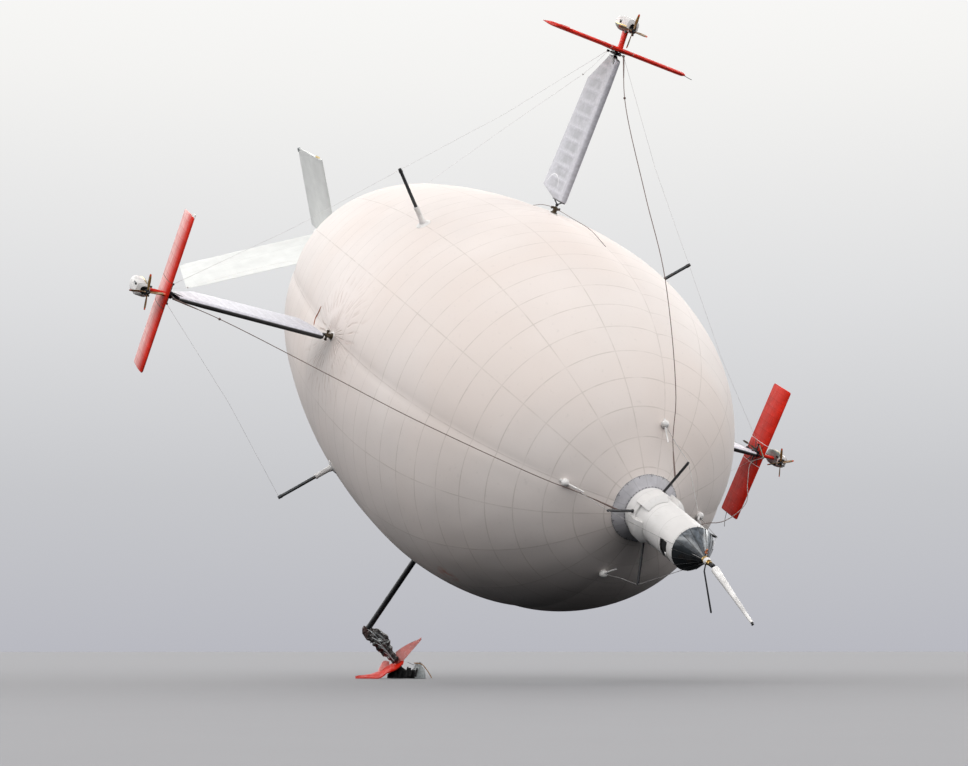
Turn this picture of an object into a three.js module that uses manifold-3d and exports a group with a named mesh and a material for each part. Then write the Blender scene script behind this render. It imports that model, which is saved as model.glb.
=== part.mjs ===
// A hybrid airship at half of full size, moored by its nose with its tail up.
// Four bladed arms stand out of the envelope, each with a cross wing, a nacelle
// and a propeller at its tip. The lowest arm is crushed against the ground.
// Millimetres, +Z up, the nose heading along +X.
import * as THREE from 'three';
import { mergeVertices } from 'three/addons/utils/BufferGeometryUtils.js';
import Module from 'manifold-3d';

// Attitude as moored, degrees
const NOSE_DOWN = 27;
const PORT_DOWN = 10.3;

// Clearance between pieces that rest on each other
const SEAT = 0.3;

// Envelope
const ENVELOPE_WALL = 10;
const ENVELOPE_ROWS = 24;
const ENVELOPE_SIDES = 40;
const CREASE_DEPTH = 0.025;
const CREASE_WIDTH = 0.343;
// station along the axis, radius
const ENVELOPE_PROFILE = [
  [-10980, 450], [-10740, 1200], [-9980, 2310], [-8940, 3120], [-6870, 4010],
  [-4790, 4510], [-2720, 4870], [-640, 5100], [1430, 5180], [3510, 5080],
  [5580, 4610], [7000, 3930], [8000, 3170], [8700, 2340], [9150, 1480], [9440, 870], [9610, 590], [9680, 450],
];
const CAP_ROWS = 2;
const CAP_THICKNESS = 25;

// Nose drum, its collar and the glazed cone
const COLLAR_RADIUS = 600;
const COLLAR_BACK = 9300;
const COLLAR_FRONT = 10060;
const DRUM_RADIUS = 540;
const DRUM_WALL = 12;
const DRUM_FRONT = 11800;
const BULKHEAD_FRONT = 9800;
const FAIRING = { back: 9900, edge: 10250, front: 10400, radius: 675, frontRadius: 570, halfAngle: 29 };
const FAIRING_ANGLES = [38, 128, 218, 308];
const WINDOW = { start: 11270, front: 11555, angle: 126, halfAngle: 28 };
const GLASS_WALL = 8;
const GLASS_TIP = 12400;
const GLASS_TIP_RADIUS = 75;

// The struts lean forward from a ring inside the drum: station, distance from the axis
const STRUT_FOOT = [9875, 498];
const STRUT_TIP = [10411, 1600];
const STRUT_RADIUS = 34;
const STRUT_RING = { halfWidth: 60, outer: 521, inner: 467 };

// Mooring spindle, swivel and pole
const SPINDLE_BALL = { station: 12490, radius: 88 };
const SPINDLE_FRONT = 12650;
const POLE_HINGE = 12740;
const POLE_LENGTH = 2030;
const POLE_SLOPE = 40.6;
const POLE_PIN = { radius: 14, hole: 14.5, halfLength: 44 };

// White balls round the nose
const BALL = { station: 8930, radius: 2000, size: 100 };

// Tail bearing, boom and fins
const BEARING_BACK = -11500;
const BEARING = { backRadius: 340, frontRadius: 600 };
const BOOM = { front: -11505, back: -16000, frontRadius: 330, backRadius: 150 };
const FIN_ROOT = 150;
const FIN_THICKNESS = 110;
// angle, front and back of the root, then station and height of the tip's front and back corners
const WHOLE_FIN = { root: [-13200, -15950], tipFront: [-13650, 5460], tipBack: [-16300, 5060] };
const BROKEN_FIN = { root: [-13400, -16450], tipFront: [-13550, 3330], tipBack: [-16490, 3130] };
const FINS = [
  ['port_upper', -59.3, WHOLE_FIN], ['starboard_upper', 30.7, BROKEN_FIN],
  ['starboard_lower', 120.7, WHOLE_FIN], ['port_lower', 210.7, WHOLE_FIN],
];

// Arms: name, angle round the hull, droop from it, turn of the resting propeller, all in degrees
const ARMS = [['upper', 0, 0, 0.4], ['starboard', 90, 0.54, 8.2], ['port', 270, -0.27, 20.9]];

// Blades, measured outward from the hull's axis. Each row has the height of its front edge,
// of the kink at a station and of its back edge at another, and a thickness
const BLADE_FRONT = 360;
const BLADE_ROWS = [
  { front: 5410, kink: [-315, 5405], back: [-1194, 5611], thickness: 170 },
  { front: 8823, kink: [-315, 8823], back: [-992, 8823], thickness: 170 },
  { front: 9519, kink: [-64, 9622], back: [-296, 9606], thickness: 130 },
];
const SPAR_BACK = 255;
const ROOT_PIN = 5225;
const ROOT_CROSS = { bottom: 5140, top: 5195, reach: 140, halfWidth: 28 };
const HEAD = { bottom: 9665, top: 9755, halfLength: 150, halfWidth: 90, lug: 480 };
const WING = { centre: 9836, front: 316, back: -645, halfSpan: 2158, thickness: 120, seam: 350 };
// height, front, back, thickness
const PYLON_ROWS = [[9836, 222, -30, 120], [10390, 187, -127, 90]];
const NACELLE = { height: 10540, wall: 12 };
// station, half width, half height, rise of the middle
const NACELLE_ROWS = [
  [-430, 100, 90, 30], [-360, 170, 150, 10], [-150, 220, 200, 0],
  [150, 220, 200, 0], [340, 180, 180, -10], [380, 120, 130, -60],
];
const ENGINE = { back: -280, front: 300, halfWidth: 140, bottom: 10400, top: 10650 };
// start and end along the nacelle
const ENGINE_FEET = [[-180, -100], [140, 220]];
const SHAFT_RADIUS = 34;
const PROP = { station: 450, height: 10420, radius: 482, blades: 4, hubBack: 55 };

// Posts between the arms
const POST = { sleeveTop: 5680, top: 6860, sleeveRadius: 72, tubeRadius: 48 };

// Crushed lower arm
const CRUSHED_SPAR = { length: 3080, radius: 85, aft: 0.137, starboard: 0.174 };
const HEAP = { x: -3740, y: -1640, ground: -8465, turn: 64.2 };

const materials = {
  fabric: { color: 0xd9d2c6, roughness: 0.75, metalness: 0 },
  capFabric: { color: 0xa9b3bb, roughness: 0.7, metalness: 0 },
  white: { color: 0xe6e4de, roughness: 0.45, metalness: 0.1 },
  glass: { color: 0x1c2a33, roughness: 0.15, metalness: 0 },
  dark: { color: 0x24262a, roughness: 0.5, metalness: 0.4 },
  brass: { color: 0x9a7a3c, roughness: 0.35, metalness: 0.9 },
  red: { color: 0xb3201a, roughness: 0.4, metalness: 0.1 },
  blade: { color: 0xb9bfc4, roughness: 0.6, metalness: 0.1 },
  steel: { color: 0x55585c, roughness: 0.4, metalness: 0.8 },
  wood: { color: 0x5b4526, roughness: 0.5, metalness: 0 },
  wreck: { color: 0x1e1c1c, roughness: 0.8, metalness: 0.2 },
};

const QUARTER = Math.PI / 2;
const rad = THREE.MathUtils.degToRad;
const wasm = await Module();
wasm.setup();

// Solids and booleans
function solid(geometry) {
  const bare = geometry.clone();
  bare.deleteAttribute('normal');
  bare.deleteAttribute('uv');
  const merged = mergeVertices(bare, 0.001);
  const corners = Array.from(merged.index.array);
  const kept = [];
  for (let i = 0; i < corners.length; i += 3) {
    const [a, b, c] = corners.slice(i, i + 3);
    if (a !== b && b !== c && c !== a) kept.push(a, b, c);
  }
  return new wasm.Manifold(new wasm.Mesh({
    numProp: 3,
    vertProperties: Float32Array.from(merged.attributes.position.array),
    triVerts: Uint32Array.from(kept),
  }));
}

function geometryOf(manifold) {
  const mesh = manifold.getMesh();
  const geometry = new THREE.BufferGeometry();
  geometry.setAttribute('position', new THREE.BufferAttribute(mesh.vertProperties, 3));
  geometry.setIndex(new THREE.BufferAttribute(mesh.triVerts, 1));
  return geometry;
}

function join(...geometries) {
  return geometryOf(geometries.map(solid).reduce((sum, next) => sum.add(next)));
}

function cut(geometry, ...cutters) {
  return geometryOf(cutters.map(solid).reduce((rest, next) => rest.subtract(next), solid(geometry)));
}

function common(geometry, other) {
  return geometryOf(solid(geometry).intersect(solid(other)));
}

// A closed mesh from its rows of points and its faces, turned outward
function closedMesh(points, faces) {
  let volume = 0;
  for (let i = 0; i < faces.length; i += 3) {
    const [a, b, c] = faces.slice(i, i + 3).map((k) => points[k]);
    volume += a.dot(b.clone().cross(c));
  }
  if (volume < 0) {
    for (let i = 0; i < faces.length; i += 3) [faces[i], faces[i + 1]] = [faces[i + 1], faces[i]];
  }
  const geometry = new THREE.BufferGeometry();
  geometry.setAttribute('position', new THREE.Float32BufferAttribute(points.flatMap((p) => [p.x, p.y, p.z]), 3));
  geometry.setIndex(faces);
  return geometry;
}

function band(faces, lower, upper, sides, flipped) {
  for (let j = 0; j < sides; j += 1) {
    const k = (j + 1) % sides;
    const corners = [lower + j, lower + k, upper + k, lower + j, upper + k, upper + j];
    if (flipped) corners.reverse();
    faces.push(...corners);
  }
}

// A solid through closed rows of equal count, with flat ends
function loft(rows) {
  const sides = rows[0].length;
  const points = rows.flat();
  const faces = [];
  for (let i = 0; i + 1 < rows.length; i += 1) band(faces, i * sides, (i + 1) * sides, sides);
  const last = (rows.length - 1) * sides;
  for (const [start, flipped] of [[0, true], [last, false]]) {
    const row = rows[start / sides];
    const middle = row.reduce((sum, p) => sum.add(p), new THREE.Vector3()).divideScalar(sides);
    points.push(middle);
    for (let j = 0; j < sides; j += 1) {
      const k = (j + 1) % sides;
      const corners = [start + j, start + k, points.length - 1];
      if (flipped) corners.reverse();
      faces.push(...corners);
    }
  }
  return closedMesh(points, faces);
}

// A wall between outer and inner rows, open at both ends
function wall(outer, inner) {
  const sides = outer[0].length;
  const points = [...outer.flat(), ...inner.flat()];
  const faces = [];
  const offset = outer.length * sides;
  for (let i = 0; i + 1 < outer.length; i += 1) {
    band(faces, i * sides, (i + 1) * sides, sides);
    band(faces, offset + i * sides, offset + (i + 1) * sides, sides, true);
  }
  band(faces, 0, offset, sides, true);
  band(faces, offset - sides, points.length - sides, sides);
  return closedMesh(points, faces);
}

// Simple shapes placed by their ends or corners
function box(low, high) {
  const size = high.map((value, k) => value - low[k]);
  const middle = high.map((value, k) => (value + low[k]) / 2);
  return new THREE.BoxGeometry(...size).translate(...middle);
}

function rod(from, to, startRadius, endRadius = startRadius, sides = 12) {
  const a = new THREE.Vector3(...from);
  const b = new THREE.Vector3(...to);
  const geometry = new THREE.CylinderGeometry(endRadius, startRadius, a.distanceTo(b), sides);
  const turn = new THREE.Quaternion().setFromUnitVectors(
    new THREE.Vector3(0, 1, 0), b.clone().sub(a).normalize());
  return geometry.applyQuaternion(turn).translate(...a.lerp(b, 0.5).toArray());
}

function ball(centre, radius, sides = 8) {
  return new THREE.SphereGeometry(radius, sides, sides - 2).translate(...centre);
}

// A wedge about the X axis, from [station, radius] pairs
function sector(profile, angle, halfAngle) {
  const steps = 6;
  const ring = ([x, radius]) => {
    const points = [new THREE.Vector3(x, 0, 0)];
    for (let i = 0; i <= steps; i += 1) {
      const a = rad(angle + halfAngle * (2 * i / steps - 1));
      points.push(new THREE.Vector3(x, -radius * Math.sin(a), radius * Math.cos(a)));
    }
    return points;
  };
  return loft(profile.map(ring));
}

// A turned shape about the X axis, from [station, radius] pairs
function turned(profile, sides = 24) {
  const points = profile.map(([x, r]) => new THREE.Vector2(r, x));
  return new THREE.LatheGeometry(points, sides).rotateZ(-QUARTER);
}

// Envelope: four creases run along the arms' meridians
function creased(radius, angle) {
  const away = Math.abs(angle - Math.round(angle / QUARTER) * QUARTER);
  return radius * (1 - CREASE_DEPTH * Math.exp(-away / CREASE_WIDTH));
}

const profileCurve = new THREE.CatmullRomCurve3(
  ENVELOPE_PROFILE.map(([x, r]) => new THREE.Vector3(x, r, 0)), false, 'centripetal');

function envelopeRow(index, outward) {
  const share = (1 - Math.cos(Math.PI * index / (ENVELOPE_ROWS - 1))) / 2;
  const place = profileCurve.getPointAt(share);
  const along = profileCurve.getTangentAt(share);
  const station = place.x - along.y * outward;
  const radius = place.y + along.x * outward;
  const row = [];
  for (let j = 0; j < ENVELOPE_SIDES; j += 1) {
    const angle = (j / ENVELOPE_SIDES) * 2 * Math.PI;
    const r = creased(radius, angle);
    row.push(new THREE.Vector3(station, -r * Math.sin(angle), r * Math.cos(angle)));
  }
  return row;
}

function envelopeRows(first, last, outward) {
  const rows = [];
  for (let i = first; i <= last; i += 1) rows.push(envelopeRow(i, outward));
  return rows;
}

const LAST_ROW = ENVELOPE_ROWS - 1;

function envelopeBody(outward) {
  return loft(envelopeRows(0, LAST_ROW, outward));
}

const underArm = envelopeBody(SEAT);
const underPost = envelopeBody(SEAT).rotateX(QUARTER / 2);
const underCap = envelopeBody(CAP_THICKNESS + 2 * SEAT);

function cap(first, last) {
  return wall(envelopeRows(first, last, SEAT + CAP_THICKNESS), envelopeRows(first, last, SEAT));
}

// Wing sections: a rounded front edge and a thin back edge
const HALF_SECTION = [[0, 0], [0.03, 0.55], [0.12, 0.9], [0.3, 1], [0.6, 0.72], [1, 0.06]];

function wingSection(front, back, thickness, place, half = HALF_SECTION) {
  const lower = half.slice(1).reverse().map(([share, height]) => [share, -height]);
  return [...half, ...lower].map(([share, height]) => {
    const along = front + (back - front) * share;
    return place(along, (height * thickness) / 2);
  });
}

// The model's groups: the hull is tilted, the pole hangs level with the ground
const airship = new THREE.Group();
const hull = new THREE.Group();
hull.rotation.set(rad(-PORT_DOWN), rad(NOSE_DOWN), 0, 'YXZ');
airship.add(hull);
hull.updateMatrixWorld(true);

function add(parent, name, geometry, material) {
  const mesh = new THREE.Mesh(geometry, new THREE.MeshStandardMaterial(materials[material]));
  mesh.name = name;
  parent.add(mesh);
  return mesh;
}

// Envelope and its end caps
add(hull, 'envelope', wall(envelopeRows(0, LAST_ROW, 0), envelopeRows(0, LAST_ROW, -ENVELOPE_WALL)), 'fabric');
add(hull, 'nose_cap', cap(LAST_ROW - CAP_ROWS, LAST_ROW), 'capFabric');
add(hull, 'tail_cap', cap(0, CAP_ROWS), 'capFabric');

// Nose drum with its collar, four fairings and two windows
const drumBore = DRUM_RADIUS - DRUM_WALL;
const fairings = FAIRING_ANGLES.map((angle) => cut(
  sector(
    [[FAIRING.back, FAIRING.radius], [FAIRING.edge, FAIRING.radius], [FAIRING.front, FAIRING.frontRadius]],
    angle, FAIRING.halfAngle),
  rod([FAIRING.back - 1, 0, 0], [FAIRING.front + 1, 0, 0], DRUM_RADIUS - 2, DRUM_RADIUS - 2, 32)));
const windows = [WINDOW.angle, -WINDOW.angle].map((angle) => sector(
  [[WINDOW.start, DRUM_RADIUS * 2], [WINDOW.front, DRUM_RADIUS * 2]], angle, WINDOW.halfAngle));
const drum = cut(
  join(
    rod([COLLAR_BACK, 0, 0], [COLLAR_FRONT, 0, 0], COLLAR_RADIUS, COLLAR_RADIUS, 32),
    rod([COLLAR_BACK, 0, 0], [DRUM_FRONT, 0, 0], DRUM_RADIUS, DRUM_RADIUS, 32),
    ...fairings),
  rod([BULKHEAD_FRONT, 0, 0], [DRUM_FRONT + 1, 0, 0], drumBore, drumBore, 32),
  underCap,
  ...windows);

// Struts stand on a ring inside the drum's wall and come out through it
const strutLean = (STRUT_TIP[0] - STRUT_FOOT[0]) / (STRUT_TIP[1] - STRUT_FOOT[1]);
const strutAt = (height) => [STRUT_FOOT[0] + strutLean * (height - STRUT_FOOT[1]), 0, height];
const strutHoles = [0, 1, 2, 3].map((k) => rod(
  strutAt(drumBore - 60), strutAt(COLLAR_RADIUS + 80), STRUT_RADIUS + SEAT).rotateX(k * QUARTER));
add(hull, 'nose_drum', cut(drum, ...strutHoles), 'white');
const { halfWidth: ringHalf, outer: ringOuter, inner: ringInner } = STRUT_RING;
const strutRing = cut(
  rod([STRUT_FOOT[0] - ringHalf, 0, 0], [STRUT_FOOT[0] + ringHalf, 0, 0], ringOuter, ringOuter, 32),
  rod([STRUT_FOOT[0] - ringHalf - 1, 0, 0], [STRUT_FOOT[0] + ringHalf + 1, 0, 0], ringInner, ringInner, 32));
const struts = [0, 1, 2, 3].map((k) => rod(
  strutAt(STRUT_FOOT[1]), strutAt(STRUT_TIP[1]), STRUT_RADIUS).rotateX(k * QUARTER));
add(hull, 'nose_struts', join(strutRing, ...struts), 'dark');

// Glazed cone and the mooring spindle
const glassBack = DRUM_FRONT + SEAT;
add(hull, 'nose_glass', turned([
  [glassBack, DRUM_RADIUS - 8], [glassBack + 30, DRUM_RADIUS - 8], [GLASS_TIP, GLASS_TIP_RADIUS],
  [GLASS_TIP, GLASS_TIP_RADIUS - GLASS_WALL], [glassBack + 30, DRUM_RADIUS - 8 - GLASS_WALL],
  [glassBack, DRUM_RADIUS - 8 - GLASS_WALL], [glassBack, DRUM_RADIUS - 8],
], 32), 'glass');
add(hull, 'mooring_spindle', join(
  rod([GLASS_TIP + SEAT, 0, 0], [SPINDLE_BALL.station, 0, 0], 70),
  ball([SPINDLE_BALL.station, 0, 0], SPINDLE_BALL.radius, 12),
  rod([SPINDLE_BALL.station, 0, 0], [SPINDLE_FRONT - 60, 0, 0], 58),
  rod([SPINDLE_BALL.station, 0, 0], [SPINDLE_FRONT, 0, 0], 42)), 'brass');

// The swivel and the pole share the upright plane through the hull's axis
const upright = new THREE.Group();
upright.rotation.y = rad(NOSE_DOWN);
airship.add(upright);
const eye = 46;
add(upright, 'mooring_swivel', cut(
  join(
    rod([SPINDLE_FRONT + SEAT, 0, 0], [POLE_HINGE - 40, 0, 0], 40),
    box([POLE_HINGE - 50, -eye, -40], [POLE_HINGE + 40, eye, 40])),
  box([POLE_HINGE - 36, -25, -60], [POLE_HINGE + 60, 25, 60]),
  rod([POLE_HINGE, -60, 0], [POLE_HINGE, 60, 0], POLE_PIN.hole, POLE_PIN.hole, 24)), 'dark');
const hinge = new THREE.Group();
hinge.position.set(POLE_HINGE, 0, 0);
hinge.rotation.y = rad(POLE_SLOPE - NOSE_DOWN);
upright.add(hinge);
add(hinge, 'mooring_pole', join(
  rod([0, -POLE_PIN.halfLength, 0], [0, POLE_PIN.halfLength, 0], POLE_PIN.radius, POLE_PIN.radius, 24),
  rod([0, -20, 0], [0, 20, 0], 30),
  box([0, -18, -20], [120, 18, 20]),
  rod([100, 0, 0], [POLE_LENGTH - 60, 0, 0], 95, 40, 16),
  rod([POLE_LENGTH - 70, 0, 0], [POLE_LENGTH, 0, 0], 22)), 'white');

// Balls on stands round the nose, one over each crease
for (const [name, angle] of [['upper', 0], ['starboard', 90], ['lower', 180], ['port', 270]]) {
  const { station, radius, size } = BALL;
  const marker = join(
    ball([station, 0, radius], size, 12),
    rod([station, 0, radius], [station + 420, 0, radius - 330], 22, 16, 10),
    rod([station, 0, radius], [station - 150, 0, radius - 300], 24, 24, 10));
  add(hull, `nose_ball_${name}`, cut(marker, underArm).rotateX(rad(angle)), 'white');
}

// Tail bearing, boom and four fins, one of them broken short
add(hull, 'tail_bearing', cut(
  rod([BEARING_BACK, 0, 0], [ENVELOPE_PROFILE[0][0] + 300, 0, 0],
    BEARING.backRadius, BEARING.frontRadius, 24), underCap), 'white');
const boom = join(
  rod([BOOM.front, 0, 0], [BOOM.back, 0, 0], BOOM.frontRadius, BOOM.backRadius, 24),
  rod([BEARING_BACK - SEAT, 0, 0], [BOOM.front - 20, 0, 0], 120));
add(hull, 'tail_boom', boom, 'white');
for (const [name, angle, { root, tipFront, tipBack }] of FINS) {
  const slope = (tipBack[1] - tipFront[1]) / (tipBack[0] - tipFront[0]);
  const fin = loft([
    wingSection(...root, FIN_THICKNESS, (x, y) => new THREE.Vector3(x, y, FIN_ROOT)),
    wingSection(tipFront[0], tipBack[0], FIN_THICKNESS, (x, y) => new THREE.Vector3(
      x, y, tipFront[1] + slope * (x - tipFront[0])))]);
  const bearing = rod(
    [BOOM.front, 0, 0], [BOOM.back, 0, 0], BOOM.frontRadius + SEAT, BOOM.backRadius + SEAT, 24);
  add(hull, `tail_fin_${name}`, cut(fin.rotateX(rad(angle)), bearing), 'white');
}

// Posts between the arms
for (const [name, angle] of [
  ['starboard_upper', 45], ['starboard_lower', 135], ['port_lower', 225], ['port_upper', 315],
]) {
  const post = join(
    rod([0, 0, 4900], [0, 0, POST.sleeveTop], POST.sleeveRadius),
    rod([0, 0, 4900], [0, 0, 5170], 165, 165, 16),
    rod([0, 0, POST.sleeveTop - 40], [0, 0, POST.top], POST.tubeRadius));
  add(hull, `post_${name}`, cut(post, underPost).rotateX(rad(angle)), 'steel');
}

// Arms: root, spar, blade, head, cross wing, nacelle, engine and propeller
// The blade's front edge is the round spar
const BLADE_SECTION = [
  [0, 0], [0.004, 0.38], [0.012, 0.64], [0.028, 0.87], [0.055, 1], [0.12, 0.98], [0.5, 0.66], [1, 0.04],
];

function bladeHeight({ front, kink, back }, station) {
  const [from, to] = station > kink[0] ? [[BLADE_FRONT, front], kink] : [kink, back];
  return THREE.MathUtils.mapLinear(station, from[0], to[0], from[1], to[1]);
}

function bladeBody() {
  return loft(BLADE_ROWS.map((row) => wingSection(
    BLADE_FRONT, row.back[0], row.thickness,
    (x, y) => new THREE.Vector3(x, y, bladeHeight(row, x)), BLADE_SECTION)));
}

const bladeBottom = BLADE_ROWS[0].kink[1];
const [, , bladeTop] = BLADE_ROWS;
const aboveBlade = HEAD.bottom + 1;

function rootFitting(droop) {
  const { bottom, top, reach, halfWidth } = ROOT_CROSS;
  return cut(join(
    box([-reach, -halfWidth, bottom], [reach, halfWidth, top]),
    box([-halfWidth, -reach, bottom], [halfWidth, reach, top]),
    rod([0, 0, 4900], [0, 0, 5060], 120),
    rod([0, 0, 4900], [0, 0, bottom + 20], 70),
    rod([0, 0, 5000], [0, 0, ROOT_PIN - SEAT], 32)), underArm.clone().rotateX(-rad(droop)));
}

// A bar that lies on the blade's slanted top edge
function topBar() {
  const corners = [BLADE_FRONT - 20, bladeTop.kink[0], bladeTop.back[0] + 50].map((x) => {
    const low = bladeHeight(bladeTop, x) + SEAT;
    return [[-55, low], [55, low], [55, low + 22], [-55, low + 22]].map(([y, z]) => new THREE.Vector3(x, y, z));
  });
  return loft(corners);
}

function sparFrame() {
  const nose = common(bladeBody(), box([SPAR_BACK, -500, bladeBottom - 20], [BLADE_FRONT + 10, 500, aboveBlade]));
  const pivot = ROOT_PIN + 45;
  return join(
    nose,
    box([-300, -52, bladeBottom - 30], [BLADE_FRONT - 20, 52, bladeBottom - SEAT]),
    box([SPAR_BACK + 10, -44, bladeBottom - 30], [BLADE_FRONT - 30, 44, bladeBottom + 30]),
    rod([230, 0, bladeBottom - 15], [0, 0, pivot], 22),
    rod([-260, 0, bladeBottom - 15], [0, 0, pivot], 22),
    ball([0, 0, pivot], 45),
    topBar(),
    box([SPAR_BACK + 10, -40, bladeTop.front - 30], [BLADE_FRONT - 30, 40, bladeTop.front + 22]),
    rod([0, 0, bladeTop.kink[1] + 8], [0, 0, HEAD.bottom - SEAT], 45));
}

function bladePanel() {
  return cut(
    bladeBody(),
    box([SPAR_BACK - SEAT, -500, bladeBottom - 20], [BLADE_FRONT + 10, 500, aboveBlade]));
}

function head() {
  const { bottom, top, halfLength, halfWidth, lug } = HEAD;
  return join(
    box([-halfLength, -halfWidth, bottom], [halfLength, halfWidth, top]),
    box([-lug, -22, bottom + 30], [lug, 22, top - 30]),
    box([-22, -lug * 0.6, bottom + 30], [22, lug * 0.6, top - 30]));
}

function crossWing() {
  const { centre, front, back, halfSpan, thickness, seam } = WING;
  const row = (y, inset) => wingSection(
    front - inset, back + inset, thickness - 2 * inset,
    (x, z) => new THREE.Vector3(x, y, centre + z));
  const surface = loft([
    row(-halfSpan, 20), row(-halfSpan + 30, 0), row(-seam - 8, 0), row(-seam, 7),
    row(seam, 7), row(seam + 8, 0), row(halfSpan - 30, 0), row(halfSpan, 20)]);
  const pylon = loft(PYLON_ROWS.map(([height, nose, tail, depth]) => wingSection(
    nose, tail, depth, (x, y) => new THREE.Vector3(x, y, height))));
  const underNacelle = loft(NACELLE_ROWS.map((row) => nacelleRow(row, -SEAT)));
  return join(
    surface,
    cut(pylon, underNacelle),
    rod([0, 0, HEAD.top + SEAT], [0, 0, centre], 45));
}

function nacelleRow([station, width, height, rise], inset) {
  const sides = 20;
  const row = [];
  for (let j = 0; j < sides; j += 1) {
    const a = (j / sides) * 2 * Math.PI;
    const y = Math.sign(Math.cos(a)) * Math.abs(Math.cos(a)) ** 0.7 * (width - inset);
    const z = Math.sign(Math.sin(a)) * Math.abs(Math.sin(a)) ** 0.7 * (height - inset);
    row.push(new THREE.Vector3(station, y, NACELLE.height + rise + z));
  }
  return row;
}

const nacelleShell = wall(
  NACELLE_ROWS.map((row) => nacelleRow(row, 0)), NACELLE_ROWS.map((row) => nacelleRow(row, NACELLE.wall)));

const nacelleCavity = loft(NACELLE_ROWS.map((row) => nacelleRow(row, NACELLE.wall + SEAT)));

function engineBlock() {
  const { back, front, halfWidth, bottom, top } = ENGINE;
  const feet = ENGINE_FEET.map(([start, end]) => box(
    [start, -halfWidth, NACELLE.height - 200], [end, halfWidth, bottom + 10]));
  const block = join(box([back, -halfWidth, bottom], [front, halfWidth, top]), ...feet);
  const shaftEnd = PROP.station - PROP.hubBack - SEAT;
  return join(
    common(block, nacelleCavity),
    rod([front - 20, 0, PROP.height], [shaftEnd, 0, PROP.height], SHAFT_RADIUS));
}

function propeller(turn) {
  const { station, height, radius, blades, hubBack } = PROP;
  const pieces = [
    rod([station - hubBack, 0, 0], [station + 45, 0, 0], 62, 62, 16),
    rod([station + 40, 0, 0], [station + 95, 0, 0], 55, 20, 16),
  ];
  for (let k = 0; k < blades; k += 1) {
    const row = (reach, chord, depth, twist) => {
      const corners = [[-0.5, 0], [0, 0.5], [0.5, 0], [0, -0.5]];
      return corners.map(([along, across]) => {
        const c = along * chord;
        const d = across * depth;
        const t = rad(twist);
        return new THREE.Vector3(
          station + c * Math.sin(t) + d * Math.cos(t), c * Math.cos(t) - d * Math.sin(t), reach);
      });
    };
    const blade = loft([
      row(30, 44, 36, 60), row(110, 62, 24, 48), row(280, 70, 16, 30), row(radius, 44, 9, 20)]);
    pieces.push(blade.rotateX(k * QUARTER + rad(turn)));
  }
  return join(...pieces).translate(0, 0, height);
}

const STAY_END = 1080;
// Fore stays from each whole arm's head to the middle of a strut: station, distance from the axis
const STAY_ROUTE = [
  [470, 9700], [1390, 8660], [4180, 6650], [6500, 5060], [8970, 2640], [9450, 1830],
  [strutAt(STAY_END)[0], STAY_END],
];
const STAY_RADIUS = 16;

function foreStay(droop) {
  const points = STAY_ROUTE.map(([x, z]) => new THREE.Vector3(x, 0, z));
  const start = points[0].clone();
  start.x += HEAD.lug + SEAT - points[0].x;
  const route = new THREE.CatmullRomCurve3([start, ...points.slice(1)], false, 'centripetal');
  const section = new THREE.Shape();
  section.absarc(0, 0, STAY_RADIUS, 0, 2 * Math.PI);
  const tube = new THREE.ExtrudeGeometry(section, {
    steps: 18, curveSegments: 4, extrudePath: route, bevelEnabled: false });
  const headBlock = box([-500, -100, HEAD.bottom - 40], [HEAD.lug + SEAT, 100, HEAD.top + 60]);
  const strut = rod(strutAt(STAY_END - 200), strutAt(STAY_END + 200), STRUT_RADIUS + SEAT);
  return cut(tube, strut.rotateX(-rad(droop)), headBlock);
}

for (const [name, angle, droop, turn] of ARMS) {
  const arm = new THREE.Group();
  arm.rotation.x = rad(angle + droop);
  hull.add(arm);
  add(arm, `root_${name}`, rootFitting(droop), 'dark');
  add(arm, `spar_${name}`, sparFrame(), 'blade');
  add(arm, `blade_${name}`, bladePanel(), 'blade');
  add(arm, `head_${name}`, head(), 'dark');
  add(arm, `wing_${name}`, crossWing(), 'red');
  add(arm, `nacelle_${name}`, nacelleShell.clone(), 'white');
  add(arm, `engine_${name}`, engineBlock(), 'steel');
  add(arm, `propeller_${name}`, propeller(turn), 'wood');
  add(arm, `stay_${name}`, foreStay(droop), 'steel');
}

// Crushed lower arm, its pieces heaped on the ground under it
const lower = new THREE.Group();
lower.rotation.x = Math.PI;
hull.add(lower);
add(lower, 'root_lower', rootFitting(0), 'dark');

const lean = new THREE.Vector3(-CRUSHED_SPAR.aft, CRUSHED_SPAR.starboard, 1).normalize();
const sparStart = new THREE.Vector3(0, 0, ROOT_PIN + 80);
const sparEnd = sparStart.clone().addScaledVector(lean, CRUSHED_SPAR.length);
add(lower, 'spar_lower', join(
  ball([0, 0, ROOT_PIN + 45], 45),
  rod([0, 0, ROOT_PIN + 45], sparStart.toArray(), 40),
  rod(sparStart.toArray(), sparEnd.toArray(), CRUSHED_SPAR.radius, CRUSHED_SPAR.radius, 16)), 'dark');

// The heap's own axes: X across it, Y through it, Z up from the ground
const heap = new THREE.Group();
heap.position.set(HEAP.x, HEAP.y, HEAP.ground);
heap.rotation.z = rad(HEAP.turn);
airship.add(heap);
airship.updateMatrixWorld(true);
const toHeap = (point) => heap.worldToLocal(lower.localToWorld(point.clone()));
const skinStart = toHeap(sparEnd.clone().addScaledVector(lean, SEAT));
const skinAxis = toHeap(sparEnd.clone().add(lean)).sub(toHeap(sparEnd)).normalize();

// A plate from pairs of edge points across the heap, near edge then far edge
function plate(stations, thickness) {
  return loft(stations.map(([x, nearY, nearZ, farY, farZ]) => [
    new THREE.Vector3(x, nearY, nearZ), new THREE.Vector3(x, farY, farZ),
    new THREE.Vector3(x, farY, farZ + thickness), new THREE.Vector3(x, nearY, nearZ + thickness),
  ]));
}

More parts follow.
